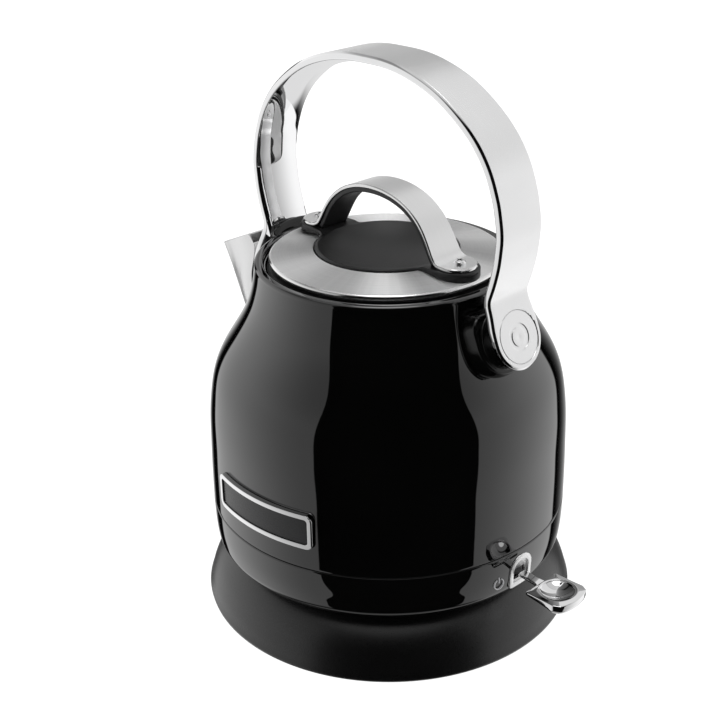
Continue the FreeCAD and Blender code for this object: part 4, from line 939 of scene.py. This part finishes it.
def pring(rad, z):
    return [(PC[0] + r * math.cos(2 * PI * k / PN), PC[1] + r * math.sin(2 * PI * k / PN), z) for k, r in enumerate(rad)]


DISH_R, DISH_D = 7.8, 2.2
SR = (DISH_R ** 2 + DISH_D ** 2) / (2 * DISH_D)


def sloped(rad, h):
    """Ring of points at height h on the paddle's top, which rises gently outwards."""
    return [(x, y, z + h - 0.045 * (119.0 - x)) for x, y, z in pring(rad, 0.0)]


def under(x):
    """Height of the paddle's underside: thin near the neck, full at the outer end."""
    return 35.4 + 3.2 * min(1.0, max(0.0, (115.0 - x) / 19.0))


for r in [0.0001] + list(np.linspace(0.8, DISH_R, 12)):
    loops.append(sloped([r] * PN, 41.0 - DISH_D + SR - math.sqrt(SR * SR - r * r)))
for t in np.linspace(0, PI, 9)[1:]:
    loops.append(sloped([DISH_R + 0.4 - 0.4 * math.cos(t)] * PN, 41.05 + 0.2 * t / PI))
for f in (0.25, 0.5, 0.75, 1.0):
    loops.append(sloped([DISH_R + 0.85 + f * (r - 0.5 - DISH_R - 0.85) for r in pad_rad], 41.25 - 0.4 * f))
for t in np.linspace(0, PI / 2, 7)[1:]:
    loops.append(sloped([r - 0.5 + 0.5 * math.sin(t) for r in pad_rad], 40.85 - 0.5 * (1 - math.cos(t))))
edge = sloped(pad_rad, 40.35)
for t in np.linspace(0, PI / 2, 8):
    lp = []
    for k, r in enumerate(pad_rad):
        low = under(edge[k][0])
        rb = 0.62 * (edge[k][2] - low)
        q = r - rb + rb * math.cos(t)
        lp.append((PC[0] + q * math.cos(2 * PI * k / PN), PC[1] + q * math.sin(2 * PI * k / PN), low + rb - rb * math.sin(t)))
    loops.append(lp)
loops.append(pring([0.0001] * PN, under(PC[0])))
verts = [tuple(p) for lp in loops for p in lp]
faces = grid_faces(len(loops), PN, wrap_cols=True)
# neck: a rounded bar that widens into the paddle
neck = []
for x, hy, z0, z1 in ((85.0, 2.5, 38.7, 40.6), (88.0, 2.5, 38.7, 40.6), (90.5, 2.4, 38.6, 40.5), (93.0, 2.3, 38.4, 40.35),
                      (95.5, 2.4, 38.3, 40.15), (97.5, 2.7, 38.3, 39.9), (99.0, 3.3, 38.3, 39.55), (100.4, 4.2, 38.5, 39.3)):
    lp = soften([(-hy, z0), (hy, z0), (hy, z1), (-hy, z1)], 1.3, seg=6)
    neck.append([(x, y, z) for y, z in lp])
o = len(verts)
nk = len(neck[0])
verts += [p for lp in neck for p in lp]
faces += [tuple(i + o for i in q) for q in grid_faces(len(neck), nk, wrap_cols=True)]
faces += [tuple(o + i for i in range(nk)), tuple(o + (len(neck) - 1) * nk + i for i in reversed(range(nk)))]
piece("switch_paddle", "switch", raw_mesh("switch_paddle", verts, faces), M_CHROME, "bright_chrome", "switch_lever")

# ------------------------------------------------------------------ camera
PHI, PAN, TILTC, ROLL = math.radians(45.28), -0.0234, 0.4433, -0.0162
fw = Vector((math.sin(PAN) * math.cos(TILTC), math.cos(PAN) * math.cos(TILTC), -math.sin(TILTC)))
rt = fw.cross(Vector((0, 0, 1))).normalized()
up = rt.cross(fw)
r2 = rt * math.cos(ROLL) + up * math.sin(ROLL)
u2 = up * math.cos(ROLL) - rt * math.sin(ROLL)
turn = Matrix.Rotation(PHI, 3, "Z")
r2, u2, bk = turn @ r2, turn @ u2, turn @ (-fw)
cam_data = bpy.data.cameras.new("camera")
cam = bpy.data.objects.new("camera", cam_data)
scene.collection.objects.link(cam)
cam_data.sensor_width = 36.0
cam_data.lens = 64.74
cam_data.clip_start, cam_data.clip_end = 0.01, 50
cam.matrix_world = Matrix(((r2.x, u2.x, bk.x, 0.398547), (r2.y, u2.y, bk.y, -0.394652), (r2.z, u2.z, bk.z, 0.385958), (0, 0, 0, 1)))
scene.camera = cam

# ------------------------------------------------------------------ floor and studio light
fm, ft, fb = material("pale_floor", Metallic=0.0)
tint(ft, fb, noise(ft, 3, 3), (0.2, 0.2, 0.2), (0.22, 0.22, 0.22))
fb.inputs["Emission Color"].default_value = (1, 1, 1, 1)
fb.inputs["Emission Strength"].default_value = 0.98
ft.links.new(spread(ft, noise(ft, 40, 3), 0.75, 0.85), fb.inputs["Roughness"])
me = bpy.data.meshes.new("studio_floor")
me.from_pydata([(-6, -6, 0), (6, -6, 0), (6, 6, 0), (-6, 6, 0)], [], [(0, 1, 2, 3)])
me.materials.append(fm)
floor = bpy.data.objects.new("studio_floor", me)
scene.collection.objects.link(floor)
floor.visible_glossy = False

CAM_AZ = math.atan2(-0.394652, 0.398547)
world = bpy.data.worlds.new("studio")
scene.world = world
world.use_nodes = True
wt = world.node_tree
wt.nodes.clear()
world.cycles.sampling_method = "NONE"
wo = nd(wt, "ShaderNodeOutputWorld")
tc = nd(wt, "ShaderNodeTexCoord")
sep = nd(wt, "ShaderNodeSeparateXYZ")
wt.links.new(tc.outputs["Generated"], sep.inputs[0])


def wmath(op, *vals, clamp=False):
    n = nd(wt, "ShaderNodeMath", operation=op, use_clamp=clamp)
    for i, v in enumerate(vals):
        if isinstance(v, (int, float)):
            n.inputs[i].default_value = v
        else:
            wt.links.new(v, n.inputs[i])
    return n.outputs[0]


def wstep(value, a, b):
    """Smooth rise from 0 at a to 1 at b."""
    r = nd(wt, "ShaderNodeMapRange", interpolation_type="SMOOTHSTEP")
    r.inputs["From Min"].default_value, r.inputs["From Max"].default_value = a, b
    wt.links.new(value, r.inputs["Value"])
    return r.outputs["Result"]


ca, sa = math.cos(CAM_AZ), math.sin(CAM_AZ)
fx_ = wmath("ADD", wmath("MULTIPLY", sep.outputs["X"], ca), wmath("MULTIPLY", sep.outputs["Y"], sa))
fy_ = wmath("ADD", wmath("MULTIPLY", sep.outputs["X"], -sa), wmath("MULTIPLY", sep.outputs["Y"], ca))
az = wmath("MULTIPLY", wmath("ARCTAN2", fy_, fx_), 180 / PI)
el = wmath("MULTIPLY", wmath("ARCSINE", sep.outputs["Z"]), 180 / PI)
aaz = wmath("ABSOLUTE", az)
naz = wmath("MULTIPLY", az, -1.0)
lift = wmath("MULTIPLY", wmath("MAXIMUM", wmath("SUBTRACT", el, 12.0), 0.0), 1.6)


def less(a, b):
    return wmath("SUBTRACT", 1.0, wstep(a, *b))


reach = wmath("MULTIPLY", lift, 0.9)
bulge = wmath("MULTIPLY", wmath("MULTIPLY", less(el, (-40.5, -36.0)), wstep(el, -46.0, -41.0)), 7.0)
high = wstep(el, 32.0, 44.0)
dim = wmath("MULTIPLY", wmath("MULTIPLY", wstep(naz, 60.0, 100.0), less(naz, (150.0, 172.0))), high)
dim = wmath("SUBTRACT", 1.0, wmath("MULTIPLY", dim, 0.55))
panel = wmath("ADD", wmath("MULTIPLY", wstep(aaz, 48.0, 118.0), 0.7), 0.55)
panel = wmath("MULTIPLY", panel, wmath("ADD", wstep(wmath("ADD", az, bulge), 55.6, 56.5), wstep(wmath("ADD", naz, bulge), 44.8, 45.7)))
panel = wmath("MULTIPLY", panel, wmath("MULTIPLY", less(wmath("SUBTRACT", az, reach), (132.5, 135.0)),
                                       less(wmath("SUBTRACT", naz, reach), (141.5, 144.0))))
panel = wmath("MULTIPLY", panel, wmath("SUBTRACT", 1.0, wmath("MULTIPLY", wstep(el, 10.0, 35.0), 0.25)))
low = wmath("MAXIMUM", wstep(el, -58.0, -50.0), wmath("MULTIPLY", wstep(naz, 100.0, 130.0), 0.4))
low = wmath("MAXIMUM", low, wmath("MULTIPLY", wstep(az, 75.0, 95.0), 0.9))
upper = wmath("SUBTRACT", el, wmath("MULTIPLY", wstep(az, 85.0, 110.0), 9.0))
panel = wmath("MULTIPLY", panel, wmath("MULTIPLY", less(upper, (43.0, 51.0)), low))
left = wmath("ADD", wmath("ADD", naz, lift), wmath("MULTIPLY", wmath("ADD", el, 27.0), 0.2))
sink = wmath("MULTIPLY", wmath("MAXIMUM", wmath("SUBTRACT", -37.0, el), 0.0), 3.0)
back = wmath("MAXIMUM", wstep(wmath("ADD", wmath("ADD", az, lift), sink), 136.0, 176.0), wstep(left, 152.0, 166.0))
across = wmath("MULTIPLY", wmath("MINIMUM", wmath("MAXIMUM", fy_, -0.3), 0.25), -0.6)
tilt_ = wmath("MULTIPLY", wstep(el, -4.0, 16.0), wmath("SUBTRACT", across, 0.4))
rise = wmath("MULTIPLY", wmath("MULTIPLY", wstep(el, 24.0, 46.0), 0.28), wmath("MAXIMUM", wstep(az, 100.0, 140.0), wstep(naz, 150.0, 180.0)))
tilt_ = wmath("MINIMUM", wmath("MAXIMUM", wmath("ADD", wmath("ADD", tilt_, rise), 0.95), 0.3), 1.25)
back = wmath("MULTIPLY", back, tilt_)
top = wmath("ADD", wmath("MULTIPLY", wstep(el, 50.0, 58.0), 0.75), wmath("MULTIPLY", wstep(el, 73.0, 78.0), 3.3))
sky = wmath("MULTIPLY", wmath("MAXIMUM", panel, back), dim)
sky = wmath("MAXIMUM", sky, wmath("MAXIMUM", wmath("MAXIMUM", top, wmath("MULTIPLY", less(el, (-65.0, -58.0)), 0.42)), 0.004))
bg_gloss = nd(wt, "ShaderNodeBackground")
wt.links.new(sky, bg_gloss.inputs["Strength"])
bg_soft = nd(wt, "ShaderNodeBackground", Strength=1.14)
bg_soft.inputs["Color"].default_value = (1, 1, 1, 1)
lp = nd(wt, "ShaderNodeLightPath")
mix = nd(wt, "ShaderNodeMixShader")
wt.links.new(lp.outputs["Is Glossy Ray"], mix.inputs[0])
wt.links.new(bg_soft.outputs[0], mix.inputs[1])
wt.links.new(bg_gloss.outputs[0], mix.inputs[2])
wt.links.new(mix.outputs[0], wo.inputs["Surface"])

scene.view_settings.view_transform = "Standard"
scene.view_settings.look = "None"
